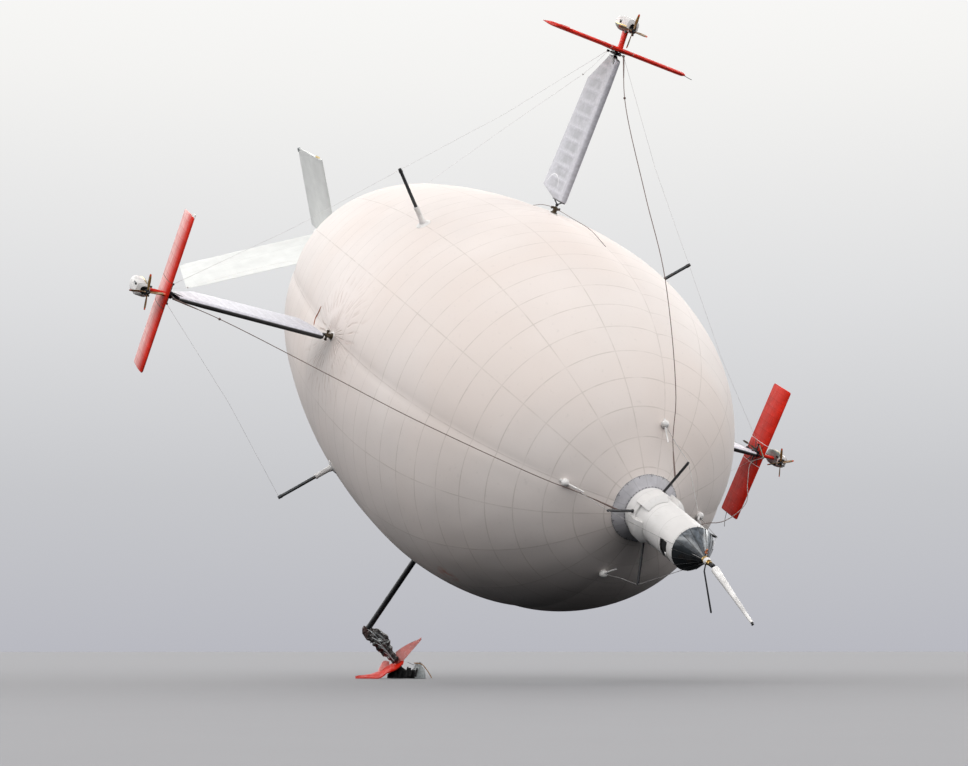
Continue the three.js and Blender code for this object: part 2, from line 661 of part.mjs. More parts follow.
// across, near edge's depth and height, far edge's depth and height
const FOLDED_WING = plate([
  [-800, -60, 0, 0, 10], [-355, -330, 0, 180, 100], [-60, -420, 0, 260, 220],
  [160, -400, 160, 300, 370], [378, -330, 240, 320, 460], [596, -180, 410, 260, 490],
], 45);
const TORN_TIP = plate([
  [360, 120, 400, 220, 780], [560, 60, 440, 240, 930], [780, 80, 760, 220, 1040], [1110, 140, 1140, 170, 1160],
], 40);
const TORN_FLAP = plate([[-150, 150, 150, 260, 230], [0, 160, 230, 300, 480], [170, 180, 330, 300, 470]], 35);
const wingWreck = join(FOLDED_WING, TORN_TIP, TORN_FLAP);

function moved(geometry, x, y, z) {
  return geometry.clone().translate(x, y, z);
}

// Cuts one piece back from its neighbour by the seating gap on every side
function seated(geometry, neighbour) {
  const shifts = [[SEAT, 0, 0], [-SEAT, 0, 0], [0, SEAT, 0], [0, -SEAT, 0], [0, 0, SEAT], [0, 0, -SEAT]];
  return cut(geometry, ...shifts.map((shift) => moved(neighbour, ...shift)));
}

// share of the way down, half width, half depth: the skin's folds bulge and pinch
const SKIN_FOLDS = [
  [0, 165, 150], [0.08, 205, 180], [0.2, 175, 160], [0.32, 250, 210], [0.45, 205, 180],
  [0.58, 270, 220], [0.72, 215, 190], [0.86, 235, 200], [1, 150, 150],
];

function crumpledSkin() {
  const route = new THREE.CatmullRomCurve3([
    skinStart, new THREE.Vector3(-300, skinStart.y, 1200), new THREE.Vector3(20, 120, 850),
    new THREE.Vector3(370, 40, 480)], false, 'centripetal');
  const sides = 12;
  const rows = SKIN_FOLDS.map(([share, width, depth], k) => {
    const centre = route.getPointAt(share);
    const along = k === 0 ? skinAxis : route.getTangentAt(share);
    const across = new THREE.Vector3(0, 1, 0).cross(along).normalize();
    const through = along.clone().cross(across);
    const row = [];
    for (let j = 0; j < sides; j += 1) {
      const a = (j / sides) * 2 * Math.PI;
      row.push(centre.clone()
        .addScaledVector(across, width * Math.cos(a))
        .addScaledVector(through, depth * Math.sin(a)));
    }
    return row;
  });
  return loft(rows);
}

// across, half depth, height: the torn engine and the cowl that lay over it
const ENGINE_ROWS = [
  [120, 120, 130], [300, 230, 330], [510, 260, 480], [700, 240, 250], [900, 250, 290], [1060, 160, 120],
];
const COWL_ROWS = [[860, 200, 260], [960, 270, 400], [1120, 250, 380], [1250, 120, 160]];

function heapedBody(stations, depth, floor) {
  return loft(stations.map(([x, half, height]) => [
    new THREE.Vector3(x, depth - half, floor), new THREE.Vector3(x, depth + half, floor),
    new THREE.Vector3(x, depth + half * 0.8, height * 0.7), new THREE.Vector3(x, depth + half * 0.2, height),
    new THREE.Vector3(x, depth - half * 0.5, height * 0.9),
  ]));
}

add(heap, 'wreck_wing', wingWreck, 'red');
add(heap, 'wreck_skin', seated(crumpledSkin(), wingWreck), 'wreck');
add(heap, 'wreck_engine', seated(
  join(heapedBody(ENGINE_ROWS, 180, 10), heapedBody(COWL_ROWS, 180, 5)), wingWreck), 'wreck');

export default airship;
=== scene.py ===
"""Dresses a moored airship, half of full size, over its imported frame.

Metres, +Z up, the nose heading along +X. Pieces are modelled square to the hull
or to their own arm, and then laid into the attitude in which the hull is moored.
"""

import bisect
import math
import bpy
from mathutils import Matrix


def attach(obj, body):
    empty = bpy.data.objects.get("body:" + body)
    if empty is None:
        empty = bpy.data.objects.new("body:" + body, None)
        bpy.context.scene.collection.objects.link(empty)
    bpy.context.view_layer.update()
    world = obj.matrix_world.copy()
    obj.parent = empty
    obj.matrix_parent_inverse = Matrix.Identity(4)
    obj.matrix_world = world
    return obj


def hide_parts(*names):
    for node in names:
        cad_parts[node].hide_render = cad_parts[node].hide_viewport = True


bl_info = {
    "name": "Moored Airship",
    "version": (1, 0, 0),
    "blender": (4, 5, 0),
    "location": "View3D > Sidebar > Airship",
    "description": "Models the visible pieces of a moored airship over its packed frame",
    "category": "Object",
}

import bmesh
import bpy
from mathutils import Matrix, Vector

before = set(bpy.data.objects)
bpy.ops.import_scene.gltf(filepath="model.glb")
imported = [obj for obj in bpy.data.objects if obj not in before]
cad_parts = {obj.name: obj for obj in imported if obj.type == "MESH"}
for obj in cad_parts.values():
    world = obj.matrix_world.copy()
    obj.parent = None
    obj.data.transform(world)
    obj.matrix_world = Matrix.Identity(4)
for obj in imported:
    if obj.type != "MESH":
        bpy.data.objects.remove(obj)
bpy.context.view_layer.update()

# Attitudes, their angles in degrees
NOSE_DOWN = 27
HULL_ROLL = -10.3
POLE_DOWN = 40.6
PIN_STATION = 12.74
GROUND = -8.466
UPRIGHT = Matrix.Rotation(math.radians(NOSE_DOWN), 4, "Y")
HULL = UPRIGHT @ Matrix.Rotation(math.radians(HULL_ROLL), 4, "X")
POLE = (UPRIGHT @ Matrix.Translation((PIN_STATION, 0, 0))
        @ Matrix.Rotation(math.radians(POLE_DOWN - NOSE_DOWN), 4, "Y"))
HEAP = (Matrix.Translation((-3.74, -1.64, -8.465))
        @ Matrix.Rotation(math.radians(64.2), 4, "Z"))
WHOLE_ARMS = {"upper": 0, "starboard": 90.54, "port": 269.73}
ALL_ARMS = {**WHOLE_ARMS, "lower": 180}
WINDOWS = {"starboard": 126, "port": -126}
CREASES = {"upper": 0, "starboard": 90, "lower": 180, "port": 270}
PROPELLER_TURNS = {"upper": 0.4, "starboard": 8.2, "port": 20.9}
POSTS = {"starboard_upper": 45, "starboard_lower": 135, "port_lower": 225, "port_upper": 315}

# Envelope outline: station, radius
ENVELOPE_LINE = [
    (-10.98, 0.45), (-10.74, 1.2), (-9.98, 2.31), (-8.94, 3.12), (-6.87, 4.01), (-4.79, 4.51),
    (-2.72, 4.87), (-0.64, 5.1), (1.43, 5.18), (3.51, 5.08), (5.58, 4.61), (7.0, 3.93),
    (8.0, 3.17), (8.7, 2.34), (9.15, 1.48), (9.44, 0.87), (9.61, 0.59), (9.68, 0.45)]

# Seams of the cloth
MERIDIAN_STEP = math.pi / 8
RING_STEP = 0.735
FIRST_RING = 0.667

# Nose fittings: stations, and distances from the hull's axis
BALL_STATION = 8.93
BALL_RADIUS = 2.0
STRUT_FOOT = (9.875, 0.498)
STRUT_TIP = (10.411, 1.6)

# Distances from the hull's axis along an arm
HEAD_FOOT = 9.665
HEAD_TOP = 9.755
WING_MIDDLE = 9.836
PROPELLER_AXIS = 10.42
NACELLE_AXIS = 10.54


def strut_at(height):
    """A point on the axis of the upper strut, at a distance from the hull's axis."""
    lean = (STRUT_TIP[0] - STRUT_FOOT[0]) / (STRUT_TIP[1] - STRUT_FOOT[1])
    return Vector((STRUT_FOOT[0] + lean * (height - STRUT_FOOT[1]), 0, height))


def around(angle):
    """The hull's place turned to an arm's or post's own upright, in degrees."""
    return HULL @ Matrix.Rotation(math.radians(angle), 4, "X")


# Fins: root's front and back, then station and height of the tip's front and back corners
WHOLE_FIN = ((-13.2, -15.95), (-13.65, 5.46), (-16.3, 5.06))
BROKEN_FIN = ((-13.4, -16.45), (-13.55, 3.33), (-16.49, 3.13))
FINS = {
    "port_upper": (-59.3, WHOLE_FIN), "starboard_upper": (30.7, BROKEN_FIN),
    "starboard_lower": (120.7, WHOLE_FIN), "port_lower": (210.7, WHOLE_FIN),
}

# Blades: the height of the front edge, of the kink at a station and of the back edge at another
BLADE_FRONT = 0.36
BLADE_NOSE = 0.085
BLADE_FOOT = (5.41, (-0.315, 5.405), (-1.194, 5.611))
BLADE_KNEE = (8.823, (-0.315, 8.823), (-0.992, 8.823))
BLADE_HEAD = (9.519, (-0.064, 9.622), (-0.296, 9.606))


# Settings
def length(name, text, value):
    return bpy.props.FloatProperty(name=name, description=text, default=value, min=0, unit="LENGTH")


def share(name, text, value):
    return bpy.props.FloatProperty(
        name=name, description=text, default=value, min=0, max=1, subtype="FACTOR")


def strength(name, text, value):
    return bpy.props.FloatProperty(name=name, description=text, default=value, min=0)


def colour(name, text, value):
    return bpy.props.FloatVectorProperty(
        name=name, description=text, default=value, min=0, max=1, size=3, subtype="COLOR")


class AirshipEnvelopeSettings(bpy.types.PropertyGroup):
    wall: length("Wall", "Thickness of the envelope's wall", 0.01)
    crease: share("Crease", "Depth of the four creases as a share of the radius", 0.025)
    crease_lip: share("Crease lip", "Extra depth close to a crease", 0.005)
    pucker: length("Pucker", "Reach of the wrinkles round an arm's foot", 1.15)
    cloth: colour("Cloth", "Colour of the coated cloth", (0.745, 0.685, 0.66))
    seam: colour("Seams", "Colour of the seams", (0.30, 0.25, 0.21))
    cap_cloth: colour("Cap cloth", "Colour of the cloth of the end caps", (0.46, 0.45, 0.48))


class AirshipNoseSettings(bpy.types.PropertyGroup):
    enamel: colour("Enamel", "Colour of the white enamel", (0.70, 0.685, 0.68))
    glass: colour("Glass", "Tint of the glazed cone", (0.013, 0.015, 0.017))
    black: colour("Black", "Colour of the black enamel", (0.016, 0.017, 0.02))
    brass: colour("Brass", "Colour of the brass", (0.60, 0.43, 0.17))
    ribs: bpy.props.IntProperty(name="Ribs", description="Ribs of the glazed cone", default=16, min=4)


class AirshipTailSettings(bpy.types.PropertyGroup):
    cover: colour("Cover", "Colour of the fins' covers", (0.785, 0.795, 0.785))
    foam: colour("Foam", "Colour of the torn foam core", (0.62, 0.48, 0.22))


class AirshipArmSettings(bpy.types.PropertyGroup):
    skin: colour("Blade skin", "Colour of the blades' skin", (0.46, 0.46, 0.505))
    red: colour("Red", "Colour of the red enamel", (0.62, 0.022, 0.010))
    wood: colour("Wood", "Colour of the propellers' wood", (0.16, 0.085, 0.025))
    wood_tip: colour("Tips", "Colour of the propellers' tips", (0.75, 0.09, 0.02))
    cable: length("Cable", "Radius of the fore stays", 0.011)


class AirshipWreckSettings(bpy.types.PropertyGroup):
    soot: colour("Torn skin", "Colour of the torn dark skin", (0.02, 0.018, 0.018))
    cowl: colour("Cowl", "Colour of the torn cowl", (0.42, 0.45, 0.46))


class AirshipStageSettings(bpy.types.PropertyGroup):
    floor: colour("Floor", "Colour of the floor", (0.26, 0.26, 0.275))
    band: strength("Band", "Strength of the band of light", 4.0)
    key: strength("Key", "Strength of the key light", 0.7)


def settings(part):
    return getattr(bpy.context.scene, "airship_" + part)


# Work on one piece at a time
def let_go():
    if bpy.context.mode != "OBJECT":
        bpy.ops.object.mode_set(mode="OBJECT")
    bpy.ops.object.select_all(action="DESELECT")


def take(piece):
    let_go()
    piece.select_set(True)
    bpy.context.view_layer.objects.active = piece


def lay_ring(piece, ring):
    shape = bmesh.from_edit_mesh(piece.data)
    for vert, point in zip([v for v in shape.verts if v.select], ring):
        vert.co = point
    bmesh.update_edit_mesh(piece.data)


def drawn(name, rings):
    """A filled circle drawn out ring by ring through the given points."""
    let_go()
    bpy.ops.mesh.primitive_circle_add(vertices=len(rings[0]), radius=1, fill_type="NGON")
    piece = bpy.context.object
    piece.name = name
    bpy.ops.object.mode_set(mode="EDIT")
    lay_ring(piece, rings[0])
    for ring in rings[1:]:
        bpy.ops.mesh.extrude_region_move()
        lay_ring(piece, ring)
    bpy.ops.object.mode_set(mode="OBJECT")
    return piece


def full_turn(sides):
    """Evenly spaced angles all the way round, in radians."""
    return [2 * math.pi * k / sides for k in range(sides)]


def spread(angle, half, cuts):
    """Angles from one side of an angle in degrees to the other, in radians."""
    return [math.radians(angle + half * (i / cuts - 1)) for i in range(2 * cuts + 1)]


def hoop(station, radius, turn):
    """Points at a station and radius, at each of the angles in radians."""
    return [(station, -radius * math.sin(a), radius * math.cos(a)) for a in turn]


def turned(name, profile, sides=40):
    """A round piece about X from station and radius pairs, its ends closed."""
    return drawn(name, [hoop(x, r, full_turn(sides)) for x, r in profile])


def swept(name, route, radii, sides=8):
    """A round bar along a route, with a radius at each point."""
    route = [Vector(p) for p in route]
    ahead = (route[1] - route[0]).normalized()
    across = ahead.orthogonal().normalized()
    rings = []
    for k, point in enumerate(route):
        ahead = (route[min(k + 1, len(route) - 1)] - route[max(k - 1, 0)]).normalized()
        across = (across - ahead * across.dot(ahead)).normalized()
        beside = ahead.cross(across)
        r = radii[k] if isinstance(radii, (list, tuple)) else radii
        rings.append([point + (across * math.cos(a) + beside * math.sin(a)) * r
                      for a in full_turn(sides)])
    return drawn(name, rings)


def block(name, low, high, bevel=0.01):
    """A bevelled block between two corners."""
    let_go()
    low, high = Vector(low), Vector(high)
    bpy.ops.mesh.primitive_cube_add(size=1, location=(low + high) / 2)
    piece = bpy.context.object
    piece.name = name
    piece.scale = high - low
    bpy.ops.object.transform_apply(location=True, rotation=True, scale=True)
    bpy.ops.object.mode_set(mode="EDIT")
    bpy.ops.mesh.bevel(offset=bevel, segments=2, affect="EDGES")
    bpy.ops.object.mode_set(mode="OBJECT")
    return piece


def globe(name, centre, radius, segments=24):
    """A ball with its poles on the X axis, a little flattened there."""
    steps = segments // 2
    profile = [(centre[0] - radius * 0.99 * math.cos(math.pi * k / steps),
                max(radius * math.sin(math.pi * k / steps), radius * 0.02)) for k in range(steps + 1)]
    piece = turned(name, profile, segments)
    piece.data.transform(Matrix.Translation((0, centre[1], centre[2])))
    return piece


def joined(name, pieces):
    take(pieces[0])
    for piece in pieces[1:]:
        piece.select_set(True)
    bpy.ops.object.join()
    pieces[0].name = name
    return pieces[0]


def carved(piece, cutter):
    """Cuts one piece with another, which is then removed."""
    take(piece)
    bpy.ops.object.modifier_add(type="BOOLEAN")
    piece.modifiers[-1].operation = "DIFFERENCE"
    piece.modifiers[-1].object = cutter
    bpy.ops.object.modifier_apply(modifier=piece.modifiers[-1].name)
    bpy.data.objects.remove(cutter)
    return piece


def unfilled(piece):
    """Takes the end faces out of a drawn piece."""
    take(piece)
    bpy.ops.object.mode_set(mode="EDIT")
    bpy.ops.mesh.select_all(action="DESELECT")
    shape = bmesh.from_edit_mesh(piece.data)
    for face in shape.faces:
        face.select_set(len(face.verts) > 4)
    bmesh.update_edit_mesh(piece.data)
    bpy.ops.mesh.delete(type="ONLY_FACE")
    bpy.ops.object.mode_set(mode="OBJECT")
    return piece


def bridged(piece):
    """Takes the end faces out and closes the wall between the two rims."""
    take(unfilled(piece))
    bpy.ops.object.mode_set(mode="EDIT")
    bpy.ops.mesh.select_all(action="DESELECT")
    shape = bmesh.from_edit_mesh(piece.data)
    for edge in shape.edges:
        edge.select_set(edge.is_boundary)
    bmesh.update_edit_mesh(piece.data)
    bpy.ops.mesh.bridge_edge_loops()
    bpy.ops.object.mode_set(mode="OBJECT")
    return piece


def around_axis(name, start, end, inner, outer, angle, half, cuts=6):
    """A curved block about X: part of a tube's wall round an angle in degrees."""
    turn = spread(angle, half, cuts)
    return drawn(name, [hoop(x, outer, turn) + hoop(x, inner, reversed(turn)) for x in (start, end)])


def laid_flat(piece, first, second):
    """Gives the piece a map in metres along two of its own axes."""
    layer = piece.data.uv_layers.get("Metres") or piece.data.uv_layers.new(name="Metres")
    for loop in piece.data.loops:
        place = piece.data.vertices[loop.vertex_index].co
        layer.data[loop.index].uv = (place[first], place[second])
    return piece


def finished(piece, place, coat, body, nodes=(), smooth=32):
    """Cleans a shaped piece, lays it in place and gives it finish and body."""
    take(piece)
    bpy.ops.object.mode_set(mode="EDIT")
    bpy.ops.mesh.select_all(action="SELECT")
    bpy.ops.mesh.remove_doubles(threshold=0.0001)
    bpy.ops.mesh.normals_make_consistent(inside=False)
    bpy.ops.object.mode_set(mode="OBJECT")
    if not piece.data.polygons:
        raise RuntimeError(f"{piece.name} has no faces")
    piece.data.transform(place)
    bpy.ops.object.shade_smooth_by_angle(angle=math.radians(smooth))
    piece.data.materials.clear()
    piece.data.materials.append(finish(coat))
    piece.data.name = piece.name
    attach(piece, body)
    if nodes:
        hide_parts(*nodes)
    return piece


# Shapes
def smooth_route(points, count):
    """Evenly spaced points on a smooth curve through the given ones."""
    points = [Vector(p) for p in points]
    spans = [max((b - a).length, 1e-6) ** 0.5 for a, b in zip(points, points[1:])]
    slopes = [(b - a) / s for a, b, s in zip(points, points[1:], spans)]
    tangents = [slopes[0]]
    for k in range(1, len(points) - 1):
        both = (points[k + 1] - points[k - 1]) / (spans[k - 1] + spans[k])
        tangents.append(slopes[k - 1] - both + slopes[k])
    tangents.append(slopes[-1])
    fine = []
    for k, span in enumerate(spans):
        for t in [i / 24 for i in range(24)]:
            fine.append(points[k] * (2 * t ** 3 - 3 * t ** 2 + 1)
                        + tangents[k] * span * (t ** 3 - 2 * t ** 2 + t)
                        + points[k + 1] * (3 * t ** 2 - 2 * t ** 3)
                        + tangents[k + 1] * span * (t ** 3 - t ** 2))
    fine.append(points[-1])
    marks = [0.0]
    for a, b in zip(fine, fine[1:]):
        marks.append(marks[-1] + (b - a).length)
    even, k = [], 0
    for i in range(count):
        wanted = marks[-1] * i / (count - 1)
        while k < len(marks) - 2 and marks[k + 1] < wanted:
            k += 1
        part = (wanted - marks[k]) / max(marks[k + 1] - marks[k], 1e-9)
        even.append(fine[k].lerp(fine[k + 1], min(max(part, 0), 1)))
    return even


ENVELOPE_CURVE = smooth_route([(x, r, 0) for x, r in ENVELOPE_LINE], 150)


def creased(radius, angle):
    """A radius of the envelope, drawn in towards the nearest of the four creases."""
    envelope = settings("envelope")
    away = abs((angle + math.pi / 4) % (math.pi / 2) - math.pi / 4)
    depth = envelope.crease * math.exp(-away / 0.343) + envelope.crease_lip * math.exp(-away / 0.04)
    return radius * (1 - depth)


def creased_hoop(station, radius, turn):
    """Points of the creased skin at a station, at each of the angles in radians."""
    return [hoop(station, creased(radius, a), [a])[0] for a in turn]


def envelope_at(station, angle):
    """A point on the envelope's skin at a station and an angle in degrees."""
    angle = math.radians(angle)
    for a, b in zip(ENVELOPE_CURVE, ENVELOPE_CURVE[1:]):
        if a.x <= station <= b.x:
            r = creased(a.y + (b.y - a.y) * (station - a.x) / (b.x - a.x), angle)
            return Vector((station, -r * math.sin(angle), r * math.cos(angle)))
    raise RuntimeError("that station lies off the envelope")


def section(front, back, thickness, place, steps=9):
    """A wing section as one ring: round nose, thin tail."""
    ring = []
    for side in (1, -1):
        for k in range(steps):
            t = (1 - side * math.cos(math.pi * k / steps)) / 2
            half = 5 * (0.2969 * t ** 0.5 - 0.126 * t - 0.3516 * t ** 2
                        + 0.2843 * t ** 3 - 0.1015 * t ** 4)
            ring.append(place(front + (back - front) * t, side * (half + 0.01) * thickness))
    return ring


# Finishes
class Finish:
    """A material, with short calls that add its nodes."""

    def __init__(self, name, roughness, metallic=0.0):
        self.material = bpy.data.materials.new(name)
        self.material.use_nodes = True
        self.tree = self.material.node_tree
        self.shader = self.tree.nodes["Principled BSDF"]
        self.shader.inputs["Roughness"].default_value = roughness
        self.shader.inputs["Metallic"].default_value = metallic

    def feed(self, socket, value):
        if isinstance(value, bpy.types.NodeSocket):
            self.tree.links.new(value, socket)
        elif value is not None:
            socket.default_value = value

    def add(self, kind, *values, **choices):
        node = self.tree.nodes.new(kind)
        for key, value in choices.items():
            setattr(node, key, value)
        for socket, value in zip(node.inputs, values):
            self.feed(socket, value)
        return node

    def math(self, operation, *values):
        return self.add("ShaderNodeMath", *values, operation=operation).outputs[0]

    def times(self, first, second):
        return self.math("MULTIPLY", first, second)

    def plus(self, first, second):
        return self.math("ADD", first, second)

    def own_point(self, place=None, scale=(1, 1, 1)):
        """Points of the piece, turned back to the axes it was modelled on."""
        point = self.add("ShaderNodeTexCoord").outputs["Object"]
        turn = (place or Matrix.Identity(4)).to_3x3().transposed().to_euler("XYZ")
        return self.add("ShaderNodeMapping", point, None, tuple(turn), scale).outputs[0]

    def metres(self):
        return self.add("ShaderNodeUVMap", uv_map="Metres").outputs[0]

    def split(self, point):
        return self.add("ShaderNodeSeparateXYZ", point).outputs

    def noise(self, point, scale, detail=4.0, distortion=0.0):
        node = self.add("ShaderNodeTexNoise")
        self.feed(node.inputs["Vector"], point)
        node.inputs["Scale"].default_value = scale
        node.inputs["Detail"].default_value = detail
        node.inputs["Distortion"].default_value = distortion
        return node.outputs[0]

    def between(self, value, low, high, start=0.0, end=1.0):
        """Maps low to start and high to end, held at both ends."""
        return self.add("ShaderNodeMapRange", value, low, high, start, end).outputs[0]

    def blend(self, amount, first, second):
        node = self.add("ShaderNodeMix", data_type="RGBA")
        for k, value in ((0, amount), (6, first), (7, second)):
            self.feed(node.inputs[k], (*value, 1) if isinstance(value, tuple) else value)
        return node.outputs[2]

    def distance(self, point, other):
        return self.add("ShaderNodeVectorMath", point, other, operation="DISTANCE").outputs["Value"]

    def off_line(self, value, pitch):
        """Distance to the nearest of evenly spaced lines."""
        part = self.math("FRACT", self.plus(self.math("DIVIDE", value, pitch), 0.5))
        return self.times(self.math("ABSOLUTE", self.math("SUBTRACT", part, 0.5)), pitch)

    def off_seam(self, y, z):
        """Distance to the nearest of the seams that run along the hull."""
        girth = self.math("SQRT", self.plus(self.times(y, y), self.times(z, z)))
        angle = self.math("ARCTAN2", self.times(y, -1.0), z)
        return self.times(self.off_line(angle, MERIDIAN_STEP), girth)

    def mottled(self, point, scale, base, dark, pale, low=0.3):
        """A colour that wanders between a darker and a paler shade of itself."""
        cloudy = self.between(self.noise(point, scale, 5.0), low, 0.7)
        return self.blend(cloudy, shade(base, dark), shade(base, pale))

    def paint(self, colour):
        self.feed(self.shader.inputs["Base Color"], colour)

    def bump(self, height, distance, strength=1.0, normal=None):
        node = self.add("ShaderNodeBump")
        node.inputs["Strength"].default_value = strength
        node.inputs["Distance"].default_value = distance
        self.feed(node.inputs["Height"], height)
        self.feed(node.inputs["Normal"], normal)
        self.feed(self.shader.inputs["Normal"], node.outputs[0])
        return node.outputs[0]


def shade(colour, factor):
    return tuple(min(1.0, c * factor) for c in colour)


FINISHES = {}


def envelope_cloth():
    """Coated cloth with seams, wrinkles round the arms' feet with painted shade in their troughs, and
    stains.
    """
    envelope = settings("envelope")
    cloth = tuple(envelope.cloth)
    f = Finish("envelope_cloth", 0.62)
    point = f.own_point(HULL)
    x, y, z = f.split(point)
    meridian = f.off_seam(y, z)
    arc = f.add("ShaderNodeAttribute", attribute_name="arc").outputs["Fac"]
    ring = f.off_line(f.math("SUBTRACT", arc, FIRST_RING), RING_STEP)
    patchy = f.between(f.noise(point, 2.3, 3.0), 0.34, 0.6, 0.25, 1.0)
    seam = f.times(f.between(f.math("MINIMUM", meridian, ring), 0.02, 0.004), patchy)
    upright = f.math("GREATER_THAN", f.math("ABSOLUTE", z), f.math("ABSOLUTE", y))
    across = f.plus(f.times(y, upright), f.times(z, f.math("SUBTRACT", 1.0, upright)))
    reach = f.math("SQRT", f.plus(f.times(x, x), f.times(across, across)))
    fan = f.math("ARCTAN2", across, x)
    sway = f.times(f.noise(point, 1.4, 2.0), 5.0)
    ripple = f.math("SINE", f.plus(f.times(fan, 34.0), sway))
    fade = f.between(reach, envelope.pucker * 1.75, envelope.pucker * 0.22)
    thick = f.between(f.noise(point, 2.9, 2.0), 0.4, 0.62)
    fold = f.times(f.times(f.math("POWER", f.between(ripple, -0.2, 1.0), 3.0), fade), thick)
    mottle = f.mottled(point, 0.55, cloth, 0.965, 1.035)
    warm = f.blend(f.between(f.noise(point, 0.21, 3.0), 0.42, 0.66), mottle,
                   (cloth[0] * 0.985, cloth[1] * 0.955, cloth[2] * 0.935))
    grime = f.blend(f.between(f.noise(point, 9.0, 6.0), 0.63, 0.78, 0.0, 0.22), warm, shade(cloth, 0.6))
    marked = f.blend(f.times(seam, 0.36), grime, tuple(envelope.seam))
    # Painted shade: the wrinkles' troughs and the fine fold lines are darkened to brown
    wrinkle_shaded = f.blend(f.times(fold, 0.42), marked, (0.42, 0.30, 0.24))
    thin = f.math("SINE", f.plus(f.times(fan, 30.0), f.times(sway, 1.6)))
    slack = f.times(f.between(reach, 2.4, 0.6), f.between(z, 0.5, -0.4, 0.5, 1.0))
    slack = f.times(slack, f.math("LESS_THAN", y, -3.0))
    line = f.times(f.math("POWER", f.between(thin, -0.2, 1.0), 9.0), f.times(slack, thick))
    wrinkle_shaded = f.blend(f.times(line, 0.8), wrinkle_shaded, (0.36, 0.23, 0.17))
    stain = f.distance(point, (5.6, -2.17, -4.02))
    rust = f.times(f.between(stain, 0.42, 0.1), f.between(f.noise(point, 5.0), 0.4, 0.62, 0.0, 0.75))
    f.paint(f.blend(rust, wrinkle_shaded, (0.52, 0.17, 0.09)))
    normal = f.bump(f.noise(point, 0.5, 2.0), 0.10, 0.55)
    normal = f.bump(f.times(fold, -1.0), 0.022, 0.8, normal)
    normal = f.bump(seam, 0.004, 0.5, normal)
    f.bump(f.noise(point, 55.0, 2.0), 0.0025, 0.25, normal)
    return f.material


def cap_cloth():
    """The darker cloth of the end caps, in gores, dusty in patches."""
    cloth = tuple(settings("envelope").cap_cloth)
    f = Finish("cap_cloth", 0.6)
    point = f.own_point(HULL)
    y, z = f.split(point)[1:]
    gore = f.off_seam(y, z)
    mottle = f.mottled(point, 3.2, cloth, 0.86, 1.16)
    dusty = f.blend(f.between(f.noise(point, 11.0, 5.0), 0.56, 0.8, 0.0, 0.35), mottle, (0.55, 0.54, 0.50))
    f.paint(f.blend(f.between(gore, 0.012, 0.003, 0.0, 0.35), dusty, shade(cloth, 0.5)))
    f.bump(f.noise(point, 34.0, 2.0), 0.003, 0.4, f.bump(f.noise(point, 2.4, 3.0), 0.02, 0.6))
    return f.material


def white_enamel():
    """Enamel with rivet lines and rain streaks."""
    enamel = tuple(settings("nose").enamel)
    f = Finish("white_enamel", 0.42)
    point = f.own_point(HULL)
    x = f.split(point)[0]
    streak = f.noise(f.own_point(HULL, (0.9, 9.0, 9.0)), 1.6, 5.0)
    mottle = f.mottled(point, 2.2, enamel, 0.95, 1.03, 0.32)
    dirty = f.blend(f.between(streak, 0.58, 0.78, 0.0, 0.28), mottle, (0.46, 0.43, 0.38))
    sheet = f.between(f.off_line(x, 0.62), 0.007, 0.002, 0.0, 0.5)
    f.paint(f.blend(sheet, dirty, (0.30, 0.29, 0.27)))
    f.feed(f.shader.inputs["Roughness"], f.between(f.noise(point, 6.0, 4.0), 0.3, 0.7, 0.34, 0.55))
    f.bump(f.noise(point, 16.0, 2.0), 0.003, 0.3, f.bump(sheet, -0.004, 0.6))
    return f.material


def plain_metal(name, base, roughness, metallic, worn, amount=0.3, scale=5.0):
    """Painted or bare metal, mottled, worn in patches and faintly uneven."""
    f = Finish(name, roughness, metallic)
    point = f.own_point()
    mottle = f.mottled(point, scale, base, 0.75, 1.25)
    f.paint(f.blend(f.between(f.noise(point, scale * 3.3, 6.0), 0.56, 0.72, 0.0, amount), mottle, worn))
    rough = f.noise(point, scale * 2.0, 3.0)
    f.feed(f.shader.inputs["Roughness"],
           f.between(rough, 0.3, 0.7, roughness * 0.8, min(1.0, roughness * 1.3)))
    f.bump(f.noise(point, scale * 6.0, 1.0), 0.001, 0.3)
    return f.material


def cone_glass():
    """Dark tinted panes with dust, a painted sky reflection that lightens the upper half in streaks,
    browner streaks towards the bottom and a faint waviness.
    """
    tint = tuple(settings("nose").glass)
    f = Finish("cone_glass", 0.12)
    point = f.own_point(HULL)
    z = f.split(point)[2]
    dusty = f.blend(f.between(f.noise(point, 3.0, 5.0), 0.35, 0.75), tint, shade(tint, 2.2))
    streak = f.noise(f.own_point(HULL, (1.2, 5.0, 5.0)), 1.5, 4.0, 0.8)
    # Painted reflection: blue-grey streaks on the upper half stand for the sky seen in the glass, mixed
    # with haze
    haze_and_sky_sheen = f.blend(f.times(f.between(z, -0.05, 0.3), f.between(streak, 0.38, 0.66, 0.15, 0.7)),
                    dusty, (0.19, 0.22, 0.26))
    f.paint(f.blend(f.times(f.between(z, 0.0, -0.25), f.between(streak, 0.5, 0.7, 0.0, 0.5)),
                    haze_and_sky_sheen, (0.045, 0.028, 0.018)))
    f.feed(f.shader.inputs["Roughness"], f.between(f.noise(point, 7.0, 5.0), 0.35, 0.75, 0.09, 0.26))
    f.shader.inputs["IOR"].default_value = 1.55
    f.shader.inputs["Coat Weight"].default_value = 0.3
    f.bump(f.noise(point, 2.5, 2.0), 0.006, 0.35)
    return f.material


